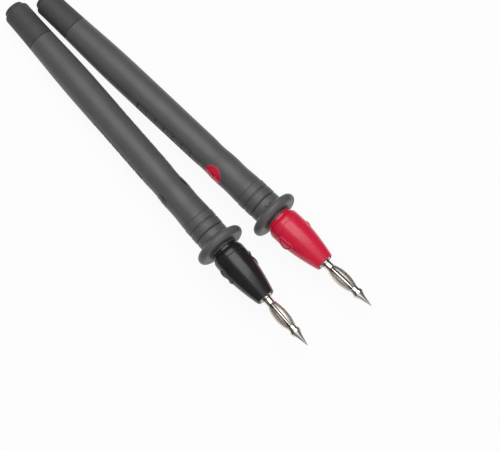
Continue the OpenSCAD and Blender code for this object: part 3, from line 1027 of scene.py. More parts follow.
@dataclass
class LanternTip:
    """Needle-ended pin and the bowed-leaf spring that turns on it. Sizes in millimetres."""

    place: ProbePlace
    finishes: Finishes
    spring_turn_deg: float
    needle_length: float = 3.3
    needle_r: float = 0.825
    head_r: float = 1.72
    head_front: float = 5.15
    head_rear: float = 6.0
    pin_r: float = 0.85
    shoulder_r: float = 1.6
    shoulder_front: float = 18.5
    shoulder_rear: float = 23.4
    flange_r: float = 2.1
    flange_front: float = 18.95
    flange_rear: float = 20.2
    socket_r: float = 0.83
    socket_floor: float = 19.9
    spring_front: float = 6.05
    bow_front: float = 7.4
    bow_length: float = 9.0
    spring_rear: float = 18.45
    ring_r: float = 1.4
    bow_r: float = 2.38
    bow_fullness: float = 0.7   # under 1 bows a leaf out sooner than a sine wave
    leaf_width: float = 1.6
    leaf_taper: float = 0.3     # how much narrower a leaf is at its ends
    leaf_thickness: float = 0.25
    leaf_edge: float = 0.045
    slot_end: float = 0.35      # length of a slot's rounded end

    def build(self) -> None:
        """Makes both pieces."""
        put_piece("tip_pin", self._pin(), self.place, self.finishes.nickel, Body.HANDLES,
                  ["lantern_pin"])
        put_piece("tip_spring", self._spring(), self.place, self.finishes.leaf, Body.SPRING,
                  ["lantern_spring"])

    def _pin(self) -> bpy.types.Mesh:
        """The needle's cone, its flare, the head, the slim middle and the shoulder.

        Returns:
            The mesh.
        """
        slope = self.needle_r / self.needle_length
        flare_length = self.head_front - self.needle_length
        sweep = self.head_r - self.needle_r - slope * flare_length
        pieces = 12
        corners = [Corner(0, 0), Corner(0.05, 0.0, 0.03), Corner(self.needle_r, self.needle_length)]
        for i in range(1, pieces):
            t = i / pieces
            corners.append(Corner(self.needle_r + slope * flare_length * t + sweep * t * t,
                                  self.needle_length + flare_length * t))
        corners += [
            Corner(self.head_r, self.head_front, 0.06), Corner(self.head_r, self.head_rear, 0.08),
            Corner(self.pin_r, self.head_rear, 0.05), Corner(self.pin_r, self.shoulder_front, 0.05),
            Corner(self.shoulder_r, self.shoulder_front, 0.1),
            Corner(self.shoulder_r, self.flange_front, 0.05),
            Corner(self.flange_r, self.flange_front, 0.12),
            Corner(self.flange_r, self.flange_rear, 0.12),
            Corner(self.shoulder_r, self.flange_rear, 0.05),
            Corner(self.shoulder_r, self.shoulder_rear, 0.1),
            Corner(self.socket_r, self.shoulder_rear, 0.05),
            Corner(self.socket_r, self.socket_floor), Corner(0, self.socket_floor)]
        return revolve(softened(corners), 96).mesh("pin", sharp_deg=28)

    def _bow(self, t: float) -> float:
        """Outer radius of the leaves, t from 0 at the front ring to 1 at the rear ring."""
        return self.ring_r + (self.bow_r - self.ring_r) * math.sin(math.pi * t) ** self.bow_fullness

    def _sheet_rows(self) -> list[Spot]:
        """Rows of the sheet from the front ring over a leaf to the rear ring.

        Returns:
            Each row's station, outer radius, and half the angle of the slot beside the leaf.
        """
        ring_pieces, bow_pieces = 4, 56
        ring_length = self.bow_front - self.spring_front
        rows = [(self.spring_front + ring_length * i / ring_pieces, self.ring_r, 0.0)
                for i in range(ring_pieces)]
        for i in range(bow_pieces + 1):
            t = (1 - math.cos(math.pi * i / bow_pieces)) / 2
            r = max(self._bow(t), self.ring_r)
            width = self.leaf_width - self.leaf_taper * (1 - math.sin(math.pi * t))
            gap = math.pi / 4 - math.asin(min(1.0, width / 2 / r))
            into_slot = min(1.0, min(t, 1 - t) * self.bow_length / self.slot_end)
            rows.append((self.bow_front + self.bow_length * t, r,
                         gap * math.sqrt(1 - (1 - into_slot) ** 2)))
        rear = self.bow_front + self.bow_length
        rows += [(rear + (self.spring_rear - rear) * i / ring_pieces, self.ring_r, 0.0)
                 for i in range(1, ring_pieces + 1)]
        return rows

    def _quarter(self) -> Shell:
        """One leaf with its share of both end rings, open at its sides along the rings.

        Returns:
            The quarter of the spring.
        """
        rows, columns = self._sheet_rows(), 10
        shell = Shell()
        for inset in (0.0, self.leaf_thickness):
            for z, r, gap in rows:
                for k in range(columns + 1):
                    angle = (math.pi / 4 - gap) * (2 * k / columns - 1)
                    shell.points.append(((r - inset) * math.cos(angle),
                                         (r - inset) * math.sin(angle), z))
        across = columns + 1
        inside = len(rows) * across
        last_row = inside - across
        for j in range(len(rows) - 1):
            row = j * across
            for k in range(row, row + columns):
                m = inside + k
                shell.faces.append((k, k + 1, k + across + 1, k + across))
                shell.faces.append((m, m + across, m + across + 1, m + 1))
            if rows[j][2] > 0 or rows[j + 1][2] > 0:
                for k in (row, row + columns):
                    side = (k, k + across, inside + k + across, inside + k)
                    shell.faces.append(side if k == row else side[::-1])
        for row in (0, last_row):
            for k in range(row, row + columns):
                end = (k, inside + k, inside + k + 1, k + 1)
                shell.faces.append(end if row == 0 else end[::-1])
        return shell

    def _spring(self) -> bpy.types.Mesh:
        """Four leaves and their rings as one sheet, with rounded sheet edges.

        Returns:
            The mesh.
        """
        quarter = bpy.data.meshes.new("quarter")
        shell = self._quarter()
        quarter.from_pydata(shell.points, [], shell.faces)
        whole = Bench(quarter).nodes(repeat_round_tree(), Count=4,
                                     Turn=math.radians(self.spring_turn_deg),
                                     Weld=0.004, Finish=self.finishes.leaf).done("whole")
        turn_outwards(whole)
        return Bench(whole).bevel(self.leaf_edge, 2, 50).done("spring", 30)


@dataclass
class NoseShroud:
    """Tapered nose, its neck and the grooved tube behind it. Sizes in millimetres."""

    place: ProbePlace
    finishes: Finishes
    front: float = 19.0
    tip_r: float = 2.95
    widest_r: float = 5.15
    taper_length: float = 14.0
    taper_power: float = 1.65   # over 1 rounds the nose out
    neck_front: float = 37.2
    neck_rear: float = 39.3
    neck_r: float = 4.38
    shoulder_length: float = 1.5
    line_depth: float = 0.14
    line_half: float = 0.14     # half the width of the line turned round the nose
    line_station: float = 34.8
    tube_r: float = 3.3
    tube_rear: float = 66.85
    tube_edge: float = 0.3
    bore_r: float = 2.26
    bore_front: float = 40.0
    front_bore_r: float = 2.5
    peg_station: float = 49.95
    travel: float = 15.0
    groove_depth: float = 0.4
    groove_width: float = 1.22
    groove_soft: float = 0.06
    groove_run_out: float = 0.6
    rim_round: float = 0.32
    mark_place: float = 0.86    # as a share of the taper's length
    mark_length: float = 4.9
    mark_width: float = 4.0
    mark_corner_r: float = 0.55
    mark_ridge: tuple[Point, ...] = (   # across the ridge, and above the nose
        (-0.30, -0.25), (-0.24, 0.10), (-0.17, 0.24), (-0.08, 0.3),
        (0.08, 0.3), (0.17, 0.24), (0.24, 0.10), (0.30, -0.25))

    def build(self) -> None:
        """Makes the nose with its tube, and the raised marks on it."""
        put_piece("nose", self._nose(), self.place, self.finishes.hard, Body.SHROUD,
                  ["nose_shroud"])
        put_piece("nose_marks", self._marks(), self.place, self.finishes.hard, Body.SHROUD)

    def radius(self, z: float) -> float:
        """Radius of the nose at a station, from its front face to its shoulder."""
        t = min(1.0, max(0.0, (z - self.front) / self.taper_length))
        return self.widest_r - (self.widest_r - self.tip_r) * (1 - t) ** self.taper_power

    def _groove(self, r: float, z: float, angle: float) -> float:
        """Lets the two helical grooves into the tube.

        Args:
            r: the outline's radius.
            z: the station.
            angle: the angle round the axis.

        Returns:
            The radius there.
        """
        on_tube = self.neck_rear + self.tube_edge <= z <= self.tube_rear - self.tube_edge
        if abs(r - self.tube_r) > 1e-4 or not on_tube:
            return r
        centre = math.pi * (z - self.peg_station) / self.travel
        slope = math.atan(self.travel / (math.pi * self.tube_r))
        off = abs((angle - centre + math.pi / 2) % math.pi - math.pi / 2)
        across = off * self.tube_r * math.sin(slope)
        start = self.peg_station - self.groove_run_out
        end = self.peg_station + self.travel + self.groove_run_out
        past = max(start - z, z - end, 0.0)
        wall = self.groove_width / 2
        deep = 1 - smoothstep(wall - self.groove_soft, wall + self.groove_soft,
                              math.hypot(across, past))
        return r - self.groove_depth * deep

    def _nose(self) -> bpy.types.Mesh:
        """One closed shell from the front face to the tube's end.

        Returns:
            The mesh.
        """
        edge, taper_pieces, tube_pieces = self.rim_round, 40, 138
        start = self.radius(self.front + edge)
        corners = [Corner(self.front_bore_r, self.front, 0.12)]
        corners += arc_points(start - edge, self.front + edge, edge, edge, -90, 0, 6)
        taper = [self.front + self.taper_length * i / taper_pieces
                 for i in range(2, taper_pieces + 1)]
        corners += [Corner(self.radius(z), z) for z in taper]
        for step in (-2, -1, 0, 1, 2):
            depth = self.line_depth * max(0.0, 1 - (step / 2) ** 2)
            corners.append(Corner(self.widest_r - depth,
                                  self.line_station + step * self.line_half / 2))
        shoulder = self.neck_front - self.shoulder_length
        corners += arc_points(self.neck_r, shoulder, self.widest_r - self.neck_r,
                              self.shoulder_length, 0, 88, 12)
        corners += [Corner(self.neck_r, self.neck_front + 0.1, 0.08),
                    Corner(self.neck_r, self.neck_rear, 0.12),
                    Corner(self.tube_r, self.neck_rear, 0.1)]
        tube_length = self.tube_rear - 0.5 - self.neck_rear
        corners += [Corner(self.tube_r,
                           self.neck_rear + self.tube_edge + tube_length * i / tube_pieces)
                    for i in range(tube_pieces + 1)]
        corners += [Corner(self.tube_r, self.tube_rear, 0.15),
                    Corner(self.bore_r, self.tube_rear, 0.1),
                    Corner(self.bore_r, self.bore_front),
                    Corner(self.front_bore_r, self.bore_front - 0.2)]
        return revolve(softened(corners), 240, self._groove).mesh("nose")

    def _marks(self) -> bpy.types.Mesh:
        """A raised triangular ridge on each side, bent to the nose.

        Returns:
            The mesh.
        """
        centre = self.front + self.taper_length * self.mark_place
        outline = rounded_triangle(self.mark_length, self.mark_width, self.mark_corner_r, 7)
        path = [Vector(point) for point in densify(outline, 0.16, closed=True)]
        shell = Shell()
        for i, here in enumerate(path):
            ahead = (path[(i + 1) % len(path)] - path[i - 1]).normalized()
            side = Vector((ahead.y, -ahead.x))
            for across, height in self.mark_ridge:
                p = here + side * across
                z = centre + p.x
                r = self.radius(z) + height
                angle = p.y / self.radius(centre)
                shell.points.append((r * math.cos(angle), r * math.sin(angle), z))
        width = len(self.mark_ridge)
        for i in range(len(path)):
            row, next_row = i * width, (i + 1) % len(path) * width
            for k in range(width):
                m = (k + 1) % width
                shell.faces.append((row + k, row + m, next_row + m, next_row + k))
        shell.add(shell.moved(Matrix.Rotation(math.pi, 4, "Z")))
        return shell.mesh("marks", sharp_deg=45)


def rounded_triangle(length: float, width: float, corner_r: float, steps: int) -> list[Point]:
    """A rounded triangle, its flat side along x on the +y side.

    Args:
        length: size along x.
        width: size along y.
        corner_r: radius of the corners.
        steps: pieces in each corner.

    Returns:
        The outline's points.
    """
    flat, peak = width * 0.4 - corner_r, -width * 0.6 + corner_r
    centres = [(-length / 2 + corner_r, flat), (0.0, peak), (length / 2 - corner_r, flat)]
    points: list[Point] = []
    for (x, y), start in zip(centres, (90, 210, 330)):
        for i in range(steps + 1):
            a = math.radians(start + 120 * i / steps)
            points.append((x + corner_r * math.cos(a), y + corner_r * math.sin(a)))
    return points


@dataclass
class TwistCollar:
    """Finger guard, collar and sleeve, with what runs inside. Sizes in millimetres."""

    place: ProbePlace
    finishes: Finishes
    front: float = 38.2
    guard_station: float = 40.2
    rear: float = 44.65
    sleeve_rear: float = 53.45
    guard_r: float = 8.0
    guard_half: float = 1.4
    guard_rim: float = 1.25
    front_root_r: float = 5.5
    rear_root_r: float = 5.9
    collar_r: float = 5.0
    lip_r: float = 4.68
    bore_r: float = 3.36
    mouth_r: float = 4.44
    mouth_floor: float = 39.5
    sleeve_r: float = 4.0
    dots: tuple[Point, ...] = ((42.6, 78.0), (42.85, 62.0))     # station, and angle in degrees
    dot_r: float = 0.34
    dot_height: float = 0.2
    dot_root: float = 0.3

    def build(self) -> None:
        """Makes the collar and dresses the two rings inside."""
        put_piece("collar", self._collar(), self.place, self.finishes.guard, Body.COLLAR,
                  ["twist_collar"])
        put_piece("collar_dots", self._dots(), self.place, self.finishes.guard, Body.COLLAR)
        colour = self.place.colour.value
        dress_node(f"{colour}_friction_ring", self.finishes.gland)
        dress_node(f"{colour}_retaining_ring", self.finishes.steel)

    def _collar(self) -> bpy.types.Mesh:
        """The turned collar with its round guard.

        Returns:
            The mesh.
        """
        guard_front = self.guard_station - self.guard_half
        guard_rear = self.guard_station + self.guard_half
        corners = [Corner(self.bore_r, self.mouth_floor),
                   Corner(self.mouth_r, self.mouth_floor, 0.08),
                   Corner(self.mouth_r, self.front, 0.08),
                   Corner(self.lip_r, self.front, 0.12),
                   Corner(self.lip_r, guard_front + 0.12, 0.2),
                   Corner(self.front_root_r, guard_front + 0.02, 0.5)]
        corners += arc_points(self.guard_r - self.guard_rim, self.guard_station,
                              self.guard_rim, self.guard_half, -90, 90, 20)
        corners += [Corner(self.rear_root_r, guard_rear - 0.02, 0.6),
                    Corner(self.collar_r, guard_rear + 0.7, 0.9),
                    Corner(self.collar_r, self.rear, 0.22),
                    Corner(self.sleeve_r, self.rear),
                    Corner(self.sleeve_r, self.sleeve_rear, 0.15),
                    Corner(self.bore_r, self.sleeve_rear, 0.1)]
        return revolve(softened(corners, 6), 192).mesh("collar")

    def _dots(self) -> bpy.types.Mesh:
        """Two small raised dots behind the guard, each at its station and angle.

        Returns:
            The mesh.
        """
        pieces = 8
        outline = [(0.0, -self.dot_root), (self.dot_r, -self.dot_root)]
        outline += [(self.dot_r * math.cos(a), self.dot_height * math.sin(a))
                    for a in (math.pi / 2 * i / pieces for i in range(pieces))]
        outline.append((0.0, self.dot_height))
        dot, shell = revolve(outline, 32), Shell()
        for station, turn_deg in self.dots:
            outwards = (Matrix.Rotation(math.radians(turn_deg), 4, "Z")
                        @ Matrix.Translation((self.collar_r, 0, station))
                        @ Matrix.Rotation(math.pi / 2, 4, "Y"))
            shell.add(dot.moved(outwards))
        return shell.mesh("dots", sharp_deg=50)


@dataclass
class Handle:
    """Grip, core with its windows, gland with its boot and what is inside. Sizes in millimetres."""

    place: ProbePlace
    finishes: Finishes
    front: float = 45.0
    lip: float = 0.22
    length: float = 94.0
    crest_r: float = 5.08
    groove: float = 0.24
    ring_pitch: float = 2.8
    ring_gap: float = 0.18
    ring_lean: float = 0.12     # how much lower a ring is at its front, as a share
    ring_flatness: int = 14     # higher gives a flatter crown with steeper sides
    wave_piece: float = 0.75    # length of one piece of the waved outline
    window_station: float = 61.8
    window_r: float = 3.2
    window_depth: float = 0.02
    window_gap: float = 0.06
    insert_root_r: float = 3.0
    drill_reach: tuple[float, float] = (3.0, 7.0)
    core_gap: float = 0.03
    core_r: float = 4.1
    core_rear_r: float = 3.65
    core_taper: float = 84.0
    bearing_r: float = 4.55
    bearing_rear: float = 54.55
    rear_r: float = 4.15
    end_round: float = 0.9
    boot_length: float = 13.0
    boot_edge: float = 0.2
    boot_gap: float = 0.05
    plug_r: float = 2.87
    plug_length: float = 8.0
    plug_bore_r: float = 2.35
    gland_r: float = 3.2
    gland_lip: float = 1.2
    lead_bore_r: float = 2.1
    lead_bore_wall: float = 1.0
    panel_start: float = 25.8
    panel_floor_r: float = 4.58
    panel_clear_r: float = 5.6
    pad_length: float = 3.3
    pad_gap: float = 0.5
    pad_count: int = 6
    pad_crest_r: float = 4.79
    pad_edge: float = 0.16
    pad_root: float = 0.25
    pad_arc_deg: float = 28.0
    shape: tuple[Point, ...] = (    # distance from the front, and radius
        (5.6, 4.95), (11.6, 4.74), (16.0, 4.87), (21.0, 4.6), (25.0, 4.76),
        (60.0, 4.86), (93.1, 4.15))

    def build(self) -> None:
        """Makes the pieces that show and dresses those inside."""
        colour = self.place.colour.value
        put_piece("grip", self._grip(), self.place, self.finishes.grip, Body.HANDLES,
                  ["handle_grip"])
        put_piece("grip_pads", self._pads(), self.place, self.finishes.grip, Body.HANDLES)
        put_piece("window_inserts", self._inserts(), self.place, self.finishes.hard, Body.HANDLES)
        put_piece("gland", self._gland(), self.place, self.finishes.gland, Body.HANDLES,
                  ["inlet_gland"])
        dress_node(f"{colour}_handle_core", self.finishes.hard)
        dress_node(f"{colour}_guide_tube", self.finishes.ivory)
        dress_node(f"{colour}_probe_rod", self.finishes.brass)
        dress_node(f"{colour}_crimp_sleeve", self.finishes.brass)

    def _outer(self) -> list[Corner]:
        """The grip's outside from its front edge to the gland's boot.

        Returns:
            The outline's corners.
        """
        floor_r, pieces = self.crest_r - self.groove, 28
        corners = [Corner(floor_r - 0.05, self.front - self.lip, 0.08)]
        for ring in range(2):
            start = self.front + ring * self.ring_pitch + (self.ring_gap if ring else 0.0)
            end = self.front + (ring + 1) * self.ring_pitch - self.ring_gap
            for i in range(pieces + 1):
                t = (1 - math.cos(math.pi * i / pieces)) / 2
                swell = 1 - abs(2 * t - 1) ** self.ring_flatness
                swell *= 1 - self.ring_lean + self.ring_lean * t
                corners.append(Corner(floor_r + (self.crest_r - floor_r) * swell,
                                      start + (end - start) * t))
        rear = self._boot() - self.boot_gap
        corners += self._waves(self.front + self.shape[0][0] + 0.5, rear - 0.5)
        corners.append(Corner(self.surface(rear), rear, self.boot_edge))
        return corners

    def _boot(self) -> float:
        """The station where the grip ends and the gland's boot begins."""
        return self.front + self.length - self.boot_length

    def _waves(self, start: float, stop: float) -> list[Corner]:
        """The waved outline between two stations.

        Args:
            start: the first station.
            stop: the last station.

        Returns:
            The outline's points.
        """
        steps = math.ceil((stop - start) / self.wave_piece)
        stations = [start + (stop - start) * k / steps for k in range(steps + 1)]
        return [Corner(self.surface(z), z) for z in stations]

    def _grip(self) -> bpy.types.Mesh:
        """The grip with its two window holes and its two sunk panels.

        Returns:
            The mesh.
        """
        rear, gap = self._boot() - self.boot_gap, self.core_gap
        corners = [Corner(self.bearing_r + gap, self.front - self.lip, 0.05), *self._outer(),
                   Corner(self.core_rear_r + gap, rear, 0.1),
                   Corner(self.core_r + gap, self.core_taper),
                   Corner(self.core_r + gap, self.bearing_rear + gap),
                   Corner(self.bearing_r + gap, self.bearing_rear + gap)]
        grip = revolve(softened(corners), 192).mesh("grip_blank")
        cutters = Shell()
        for side in (0.0, math.pi):
            turn = Matrix.Rotation(side, 4, "Z")
            cutters.add(self._drill().moved(turn)).add(self._panel().moved(turn))
        return Bench(grip).cut(cutters.mesh("cutters")).done("grip", 30)

    def _drill(self) -> Shell:
        """Cutter for one window hole, pointing along x.

        Returns:
            The cutter.
        """
        radius = self.window_r + self.window_gap
        start, end = self.drill_reach
        rod = revolve([(0.0, start), (radius, start), (radius, end), (0.0, end)], 96)
        return rod.moved(Matrix.Translation((0, 0, self.window_station))
                         @ Matrix.Rotation(math.pi / 2, 4, "Y"))

    def _panel(self) -> Shell:
        """Cutter for one sunk side panel, centred on x.

        Returns:
            The cutter.
        """
        arc = math.radians(self.pad_arc_deg) + 2 * self.pad_gap / self.panel_floor_r
        start = self.front + self.panel_start
        length = self.pad_count * (self.pad_length + self.pad_gap) + self.pad_gap
        columns = 20
        shell = Shell()
        for radius in (self.panel_floor_r, self.panel_clear_r):
            for z in (start, start + length):
                for k in range(columns + 1):
                    angle = arc * (k / columns - 0.5)
                    shell.points.append((radius * math.cos(angle), radius * math.sin(angle), z))
        row = columns + 1
        for k in range(columns):
            for first, second in ((0, 1), (1, 3), (3, 2), (2, 0)):
                a, b = first * row + k, second * row + k
                shell.faces.append((b, b + 1, a + 1, a))
        for k in (0, columns):
            end = (k, row + k, 3 * row + k, 2 * row + k)
            shell.faces.append(end if k else end[::-1])
        return shell

    def surface(self, z: float) -> float:
        """The grip's radius at a station behind its rings.

        Args:
            z: the station.

        Returns:
            The radius.
        """
        place = z - self.front
        for (z0, r0), (z1, r1) in zip(self.shape, self.shape[1:]):
            if place <= z1:
                return r0 + (r1 - r0) * (1 - math.cos(math.pi * (place - z0) / (z1 - z0))) / 2
        return self.rear_r

    def _inserts(self) -> bpy.types.Mesh:
        """The hard discs that show in the windows, each with a low ring and a centre dot.

        Returns:
            The mesh.
        """
        root, flat_below = -1.4, -0.5
        profile = [(0.0, 0.06), (0.35, 0.05), (0.5, 0.0), (1.55, 0.0), (1.66, 0.06), (1.95, 0.06),
                   (2.06, 0.0), (self.window_r - 0.12, 0.0), (self.window_r - 0.03, -0.04),
                   (self.window_r, -0.12), (self.window_r, root), (0.0, root)]
        face = revolve(densify(profile, 0.12), 96)
        shell = Shell()
        for side in (1, -1):
            bent = []
            for x, y, height in face.points:
                z = self.window_station + x
                depth = math.sqrt((self.surface(z) - self.window_depth) ** 2 - y ** 2)
                out = self.insert_root_r if height < flat_below else depth + height
                bent.append((side * out, side * y, z))
            shell.add(Shell(bent, face.faces))
        return shell.mesh("inserts", sharp_deg=40)

    def _pad_top(self, columns: int, rows: int) -> Shell:
        """The points of one pad's rounded top, closer together at its edges.

        Args:
            columns: pieces round the axis.
            rows: pieces along it.

        Returns:
            A shell with the points row by row, and no faces.
        """
        half = math.radians(self.pad_arc_deg) / 2
        edge = self.pad_edge
        start = self.front + self.panel_start + self.pad_gap
        pad = Shell()
        for j in range(rows + 1):
            for k in range(columns + 1):
                u, v = (smoothstep(0, 1, t) * 0.9 + t * 0.1 for t in (j / rows, k / columns))
                angle = half * (2 * v - 1)
                side = (half - abs(angle)) * self.pad_crest_r
                near = min(min(u, 1 - u) * self.pad_length, side)
                drop = edge - math.sqrt(max(0.0, edge ** 2 - max(0.0, edge - near) ** 2))
                r = self.pad_crest_r - drop
                pad.points.append((r * math.cos(angle), r * math.sin(angle),
                                   start + self.pad_length * u))
        return pad

    def _pads(self) -> bpy.types.Mesh:
        """A row of plain pads in the sunk panel on each side of the grip.

        Returns:
            The mesh.
        """
        columns, rows = 20, 18
        pad = self._pad_top(columns, rows)
        across = columns + 1
        top = len(pad.points)
        for j in range(rows):
            for k in range(j * across, j * across + columns):
                pad.faces.append((k, k + 1, k + across + 1, k + across))
        border = (list(range(columns)) + [j * across + columns for j in range(rows)]
                  + [rows * across + k for k in range(columns, 0, -1)]
                  + [j * across for j in range(rows, 0, -1)])
        floor = self.core_r + self.pad_root
        for i in border:
            x, y, z = pad.points[i]
            scale = floor / math.hypot(x, y)
            pad.points.append((x * scale, y * scale, z))
        size = len(border)
        for i in range(size):
            m = (i + 1) % size
            pad.faces.append((border[i], top + i, top + m, border[m]))
        pad.faces.append(tuple(range(top, top + size)))
        return Bench(pad.mesh("pad", sharp_deg=60)).nodes(
            row_of_pads_tree(), Count=self.pad_count, Pitch=self.pad_length + self.pad_gap,
            Finish=self.finishes.grip).done("pads", 50)

    def _gland(self) -> bpy.types.Mesh:
        """The gland: a plug in the core, a boot over the rear end and a short lip.

        Returns:
            The mesh.
        """
        boot, end = self._boot(), self.front + self.length
        tip = end + self.gland_lip
        round_end = arc_points(self.rear_r - self.end_round, end - self.end_round,
                               self.end_round, self.end_round, 0, 90, 8)
        wall = boot + self.lead_bore_wall
        corners = [Corner(self.plug_bore_r, boot - self.plug_length, 0.15),
                   Corner(self.plug_r, boot - self.plug_length, 0.15),
                   Corner(self.plug_r, boot),
                   Corner(self.surface(boot), boot, self.boot_edge),
                   *self._waves(boot + 0.5, end - self.end_round - 0.1), *round_end,
                   Corner(self.gland_r, end, 0.03),
                   Corner(self.gland_r, tip, 0.6),
                   Corner(self.lead_bore_r, tip, 0.25),
                   Corner(self.lead_bore_r, wall),
                   Corner(self.plug_bore_r, wall)]
        return revolve(softened(corners, 5), 128).mesh("gland")


def repeat_round_tree() -> bpy.types.NodeTree:
    """Geometry Nodes that repeat a piece round the axis, weld the copies and dress them.

    Returns:
        The tree, which is built once.
    """
    if "repeat_round" in bpy.data.node_groups:
        return bpy.data.node_groups["repeat_round"]
    tree, c, given, out = new_group(
        "repeat_round", "GeometryNodeTree",
        [("Geometry", "NodeSocketGeometry", None), ("Count", "NodeSocketInt", 4),
         ("Turn", "NodeSocketFloat", 0.0), ("Weld", "NodeSocketFloat", 0.004),
         ("Finish", "NodeSocketMaterial", None)],
        [("Geometry", "NodeSocketGeometry")])
    spots = c.add("GeometryNodeMeshLine", {"Count": given.outputs["Count"],
                                           "Offset": (0.0, 0.0, 0.0)}, mode="OFFSET")
    number = c.add("GeometryNodeInputIndex")
    share = c.math("DIVIDE", number.outputs[0], given.outputs["Count"])
    angle = c.math("MULTIPLY_ADD", share, 2 * math.pi, given.outputs["Turn"])
    turn = c.add("ShaderNodeCombineXYZ", {"Z": angle})
    copies = c.add("GeometryNodeInstanceOnPoints", {
        "Points": spots.outputs[0], "Instance": given.outputs["Geometry"],
        "Rotation": turn.outputs[0]})
    real = c.add("GeometryNodeRealizeInstances", {"Geometry": copies.outputs[0]})
    weld = c.add("GeometryNodeMergeByDistance", {"Geometry": real.outputs[0],
                                                 "Distance": given.outputs["Weld"]})
    dressed = c.add("GeometryNodeSetMaterial", {"Geometry": weld.outputs[0],
                                                "Material": given.outputs["Finish"]})
    c.feed(out.inputs["Geometry"], dressed.outputs[0])
    return tree


def row_of_pads_tree() -> bpy.types.NodeTree:
    """Geometry Nodes that set a pad in a row along the axis, on two opposite sides.

    Returns:
        The tree, which is built once.
    """
    if "row_of_pads" in bpy.data.node_groups:
        return bpy.data.node_groups["row_of_pads"]
    tree, c, given, out = new_group(
        "row_of_pads", "GeometryNodeTree",
        [("Geometry", "NodeSocketGeometry", None), ("Count", "NodeSocketInt", 6),
         ("Pitch", "NodeSocketFloat", 3.8), ("Finish", "NodeSocketMaterial", None)],
        [("Geometry", "NodeSocketGeometry")])
    step = c.add("ShaderNodeCombineXYZ", {"Z": given.outputs["Pitch"]})
    spots = c.add("GeometryNodeMeshLine", {"Count": given.outputs["Count"],
                                           "Offset": step.outputs[0]}, mode="OFFSET")
    row = c.add("GeometryNodeInstanceOnPoints", {"Points": spots.outputs[0],
                                                 "Instance": given.outputs["Geometry"]})
    far = c.add("GeometryNodeTransform", {"Geometry": row.outputs[0],
                                          "Rotation": (0.0, 0.0, math.pi)})
    both = c.add("GeometryNodeJoinGeometry")
    for side in (row, far):
        c.feed(both.inputs[0], side.outputs[0])
    real = c.add("GeometryNodeRealizeInstances", {"Geometry": both.outputs[0]})
    dressed = c.add("GeometryNodeSetMaterial", {"Geometry": real.outputs[0],
                                                "Material": given.outputs["Finish"]})
    c.feed(out.inputs["Geometry"], dressed.outputs[0])
    return tree


# --- studio ---------------------------------------------------------------------------------


def glowing_stage(name: str) -> tuple[bpy.types.Material, NodeCanvas, bpy.types.NodeSocket]:
    """Starts the material of a stage piece, without a Principled BSDF.

    Args:
        name: the material's name.

    Returns:
        The material, its canvas and the socket that takes its surface shader.
    """
    material = bpy.data.materials.new(name)
    material.use_nodes = True
    tree = material.node_tree
    tree.nodes.remove(tree.nodes["Principled BSDF"])
    return material, NodeCanvas(tree), tree.nodes["Material Output"].inputs["Surface"]


